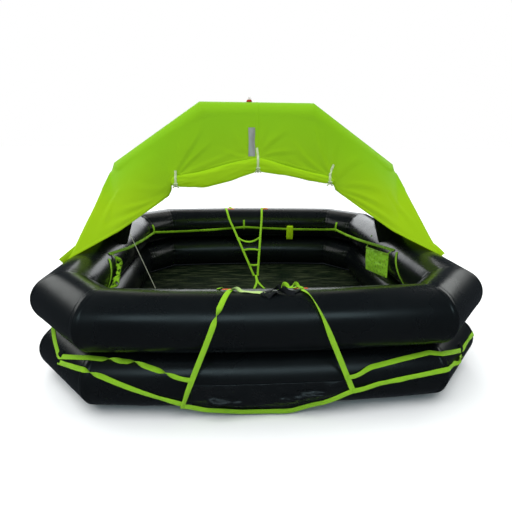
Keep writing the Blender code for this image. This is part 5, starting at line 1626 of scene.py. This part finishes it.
bands = []
for step in (-BAND_AT, BAND_AT):
    spot = bottle_middle + bottle_along * step
    stops = [wall_stop(spot, degrees, UPPER_Z) for degrees in (15, 8, 0)]
    for degrees in (40, 20, 0, -20, -40):
        a = math.radians(degrees)
        normal = bottle_away * math.cos(a) + UP * math.sin(a)
        stops.append((spot + normal * (BOTTLE_R + BAND_LIFT), normal))
    stops += [wall_stop(spot, degrees, LOWER_Z) for degrees in (0, -8, -15)]
    bands.append(web(stops, LINE_W, LINE_T))
link_lift = bottle_away * (BOTTLE_R + 0.0032)
bands.append(web([(bottle_middle + bottle_along * end + link_lift, bottle_away)
                  for end in (-BAND_LINK, 0, BAND_LINK)], LINE_W, LINE_T))
sewn("bottle_webbing", bands, WEBBING, "webbing", ["bottle_straps"])

head = bottle_middle + bottle_along * (profile[-1][0] + 0.0003)
neck = [(0, 0.018), (0.002, 0.020), (0.010, 0.020), (0.012, 0.0165), (0.020, 0.0165),
        (0.0215, 0.0145), (0.030, 0.0145), (0.0315, 0.0165), (0.046, 0.0165), (0.050, 0.0150),
        (0.053, 0.012), (0.055, 0.006)]
verts, faces = turned(head, bottle_along, neck, 32)
hose_points = [head + bottle_along * x + bottle_away * y + UP * z for x, y, z in HOSE_BENDS]
hose_points.append(ring_point(REAR_LEFT, INLET_SHARE, TUBE_R + 0.009, UPPER_Z))
hose_rows = smoothed([(point, bottle_away) for point in hose_points], 0.0035)
faces += closed_faces(len(hose_rows), HOSE_SIDES, len(verts))
for k, (point, _) in enumerate(hose_rows):
    ahead = hose_rows[min(k + 1, len(hose_rows) - 1)][0] - hose_rows[max(k - 1, 0)][0]
    side_way = ahead.cross(UP + bottle_away * 0.3).normalized()
    up = ahead.normalized().cross(side_way)
    radius = HOSE_R * (1.25 if k < 4 or k > len(hose_rows) - 5 else 0.9 + 0.07 * (k % 2))
    for j in range(HOSE_SIDES):
        a = 2 * math.pi * j / HOSE_SIDES
        verts.append(point + (side_way * math.cos(a) + up * math.sin(a)) * radius)
piece("bottle_head", verts, faces, BRASS, "brass", ["bottle_valve"], smooth=35)

# Relief valves: two of moulded grey plastic, glued to the rear tube's skin, each with a ribbed
# cap that is turned by hand.
VALVE_X = 0.62
VALVE_SIDES = 72
GRIP_RINGS = (5, 6)
GRIP_DEPTH = 0.05
GREY_PLASTIC = toned("grey_plastic", (90, 4), ((0.09, 0.092, 0.095), (0.15, 0.152, 0.155)),
                     (0.42, 0.55), (0.0003, 0.3))
VALVE_PROFILE = [(0, 0.0315), (0.0006, 0.032), (0.0042, 0.032), (0.005, 0.031), (0.0052, 0.0235),
                 (0.0062, 0.022), (0.0110, 0.0205), (0.0118, 0.0198), (0.012, 0.018), (0.012, 0.0005)]
for name, x in (("left", -VALVE_X), ("right", VALVE_X)):
    point, normal = end_skin(1, x, 0, UPPER_Z, 0.0006)
    verts, faces = turned(point, normal, VALVE_PROFILE, VALVE_SIDES)
    for ring in GRIP_RINGS:
        for k in range(0, VALVE_SIDES, 3):
            at = ring * VALVE_SIDES + k
            middle = point + normal * (verts[at] - point).dot(normal)
            verts[at] = verts[at].lerp(middle, GRIP_DEPTH)
    piece(f"relief_valve_{name}", verts, faces, GREY_PLASTIC, "grey_plastic", [f"valve_{name}"],
          smooth=30)

# Underside: four water pockets of tube fabric, flat under the floor until they fill, and the
# black webbing that people pull to right the raft.
POCKET = (0.26, 0.20)
POCKET_AT = 0.62
POCKET_Z = (0.0018, 0.0054)
RIGHTING_Z = 0.0010
RIGHTING_HALF = (0.95, 1.0)
POCKET_NET = 40
verts, faces = [], []
for centre_x in (-POCKET_AT, POCKET_AT):
    for centre_y in (-POCKET_AT, POCKET_AT):
        faces += [tuple(len(verts) + k for k in reversed(face))
                  for face in bag_faces(POCKET_NET, POCKET_NET)]
        for layer, z in enumerate(POCKET_Z):
            for t in np.linspace(-1, 1, POCKET_NET):
                for s in np.linspace(-1, 1, POCKET_NET):
                    calm = min(1, (1 - max(abs(s), abs(t))) * 8)
                    fold = noise.noise(Vector((s * 3 + centre_x, t * 9, centre_y))) * calm
                    lift = 0.0009 * fold if layer == 0 else -0.0006 * (1 - calm)
                    at = Vector((centre_x + s * POCKET[0], centre_y + t * POCKET[1], z + lift))
                    verts.append(at)
piece("water_pockets", verts, faces, TUBE_FABRIC, "tube_fabric", ["ballast_pockets"])
half_x, half_y = RIGHTING_HALF
righting = [web([(Vector((0, y, RIGHTING_Z)), UP) for y in np.linspace(-half_y, half_y, 5)],
                STRAP_W, 0.0030)]
for y in (-POCKET_AT, POCKET_AT):
    righting.append(web([(Vector((x, y, RIGHTING_Z - 0.0004)), UP)
                         for x in np.linspace(-half_x, half_x, 5)], STRAP_W, 0.0026))
sewn("righting_webbing", righting, BLACK_WEBBING, "tube_fabric")

# Studio: a pale floor that runs off into a pale backdrop, big soft lights above and all round the
# raft, and a camera at the photograph's place.
LENS = 25.87
CAMERA_AT = (-0.1935, -3.1198, 1.4767)
CAMERA_YAW = math.radians(3.636)
CAMERA_DOWN = math.radians(17.553)
CAMERA_ROLL = math.radians(0.533)
GROUND = 60
GROUND_DROP = 0.0005
ROOM_COLOUR = (0.040, 0.047, 0.055)
FILL_COLOUR = (0.19, 0.195, 0.20)

ground_mesh = bpy.data.meshes.new("studio_floor")
ground_mesh.from_pydata([(-GROUND, -GROUND, 0), (GROUND, -GROUND, 0), (GROUND, GROUND, 0),
                         (-GROUND, GROUND, 0)], [], [(0, 1, 2, 3)])
ground_finish = Finish("studio_floor", base_color=(0.93, 0.93, 0.93), roughness=0.9)
ground_mesh.materials.append(ground_finish.material)
ground = bpy.data.objects.new("studio_floor", ground_mesh)
bpy.context.collection.objects.link(ground)
ground.location.z = -GROUND_DROP
ground.visible_glossy = False
ground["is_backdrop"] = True

world = bpy.data.worlds.new("studio")
world.use_nodes = True
nodes, links = world.node_tree.nodes, world.node_tree.links
rays, shader = nodes.new("ShaderNodeLightPath"), nodes["Background"]
shader.inputs["Color"].default_value = (*FILL_COLOUR, 1)
for kind, colour in (("Is Glossy Ray", ROOM_COLOUR), ("Is Camera Ray", (1, 1, 1))):
    backdrop, either = nodes.new("ShaderNodeBackground"), nodes.new("ShaderNodeMixShader")
    backdrop.inputs["Color"].default_value = (*colour, 1)
    links.new(rays.outputs[kind], either.inputs[0])
    links.new(shader.outputs[0], either.inputs[1])
    links.new(backdrop.outputs[0], either.inputs[2])
    shader = either
links.new(shader.outputs[0], nodes["World Output"].inputs["Surface"])
bpy.context.scene.world = world
bpy.context.scene.view_settings.view_transform = "Standard"


def studio_light(name, kind, at, aim, strength, colour=(1, 1, 1), size=(1, 1)):
    """A soft light at a place that faces a point; the camera doesn't see the lamp itself."""
    light = bpy.data.lights.new(name, kind)
    light.energy = strength
    light.color = colour
    lamp = bpy.data.objects.new(name, light)
    if kind == "AREA":
        light.shape = "RECTANGLE"
        light.size, light.size_y = size
    else:
        light.angle = size[0]
        lamp.visible_glossy = False
    lamp.location = at
    lamp.rotation_euler = (Vector(aim) - Vector(at)).to_track_quat("-Z", "Y").to_euler()
    lamp.visible_camera = False
    bpy.context.collection.objects.link(lamp)


studio_light("sky", "SUN", (-0.7, -0.1, 4.4), (0, 0, 0), 3.55, size=(math.radians(76), 0))
studio_light("rear_box", "AREA", (0, 6.5, 3.2), (0, 0, 0.6), 190, (0.95, 0.98, 1.0), (7.0, 3.0))
studio_light("high_box", "AREA", (0, 4.6, 5.2), (0, 0, 0.3), 36, (1.0, 0.97, 0.90), (6.0, 3.0))
studio_light("front_box", "AREA", (0, -6.0, 4.0), (0, -1.2, 0.4), 62, (0.66, 0.92, 1.0), (7.0, 1.6))
for name, sign in (("left", -1), ("right", 1)):
    studio_light(f"{name}_box", "AREA", (sign * 5.5, 1.2, 3.4), (0, 0, 0.4), 60, (0.97, 1.0, 0.97),
                 (5.0, 2.0))

forward = Vector((math.sin(CAMERA_YAW) * math.cos(CAMERA_DOWN),
                  math.cos(CAMERA_YAW) * math.cos(CAMERA_DOWN), -math.sin(CAMERA_DOWN)))
right = Vector((math.cos(CAMERA_YAW), -math.sin(CAMERA_YAW), 0))
above = right.cross(forward)
rolled = right * math.cos(CAMERA_ROLL) + above * math.sin(CAMERA_ROLL)
upright = above * math.cos(CAMERA_ROLL) - right * math.sin(CAMERA_ROLL)
camera_data = bpy.data.cameras.new("camera")
camera_data.lens = LENS
camera = bpy.data.objects.new("camera", camera_data)
turn = Matrix((rolled, upright, -forward)).transposed()
camera.matrix_world = Matrix.Translation(CAMERA_AT) @ turn.to_4x4()
bpy.context.collection.objects.link(camera)
bpy.context.scene.camera = camera

low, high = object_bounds()
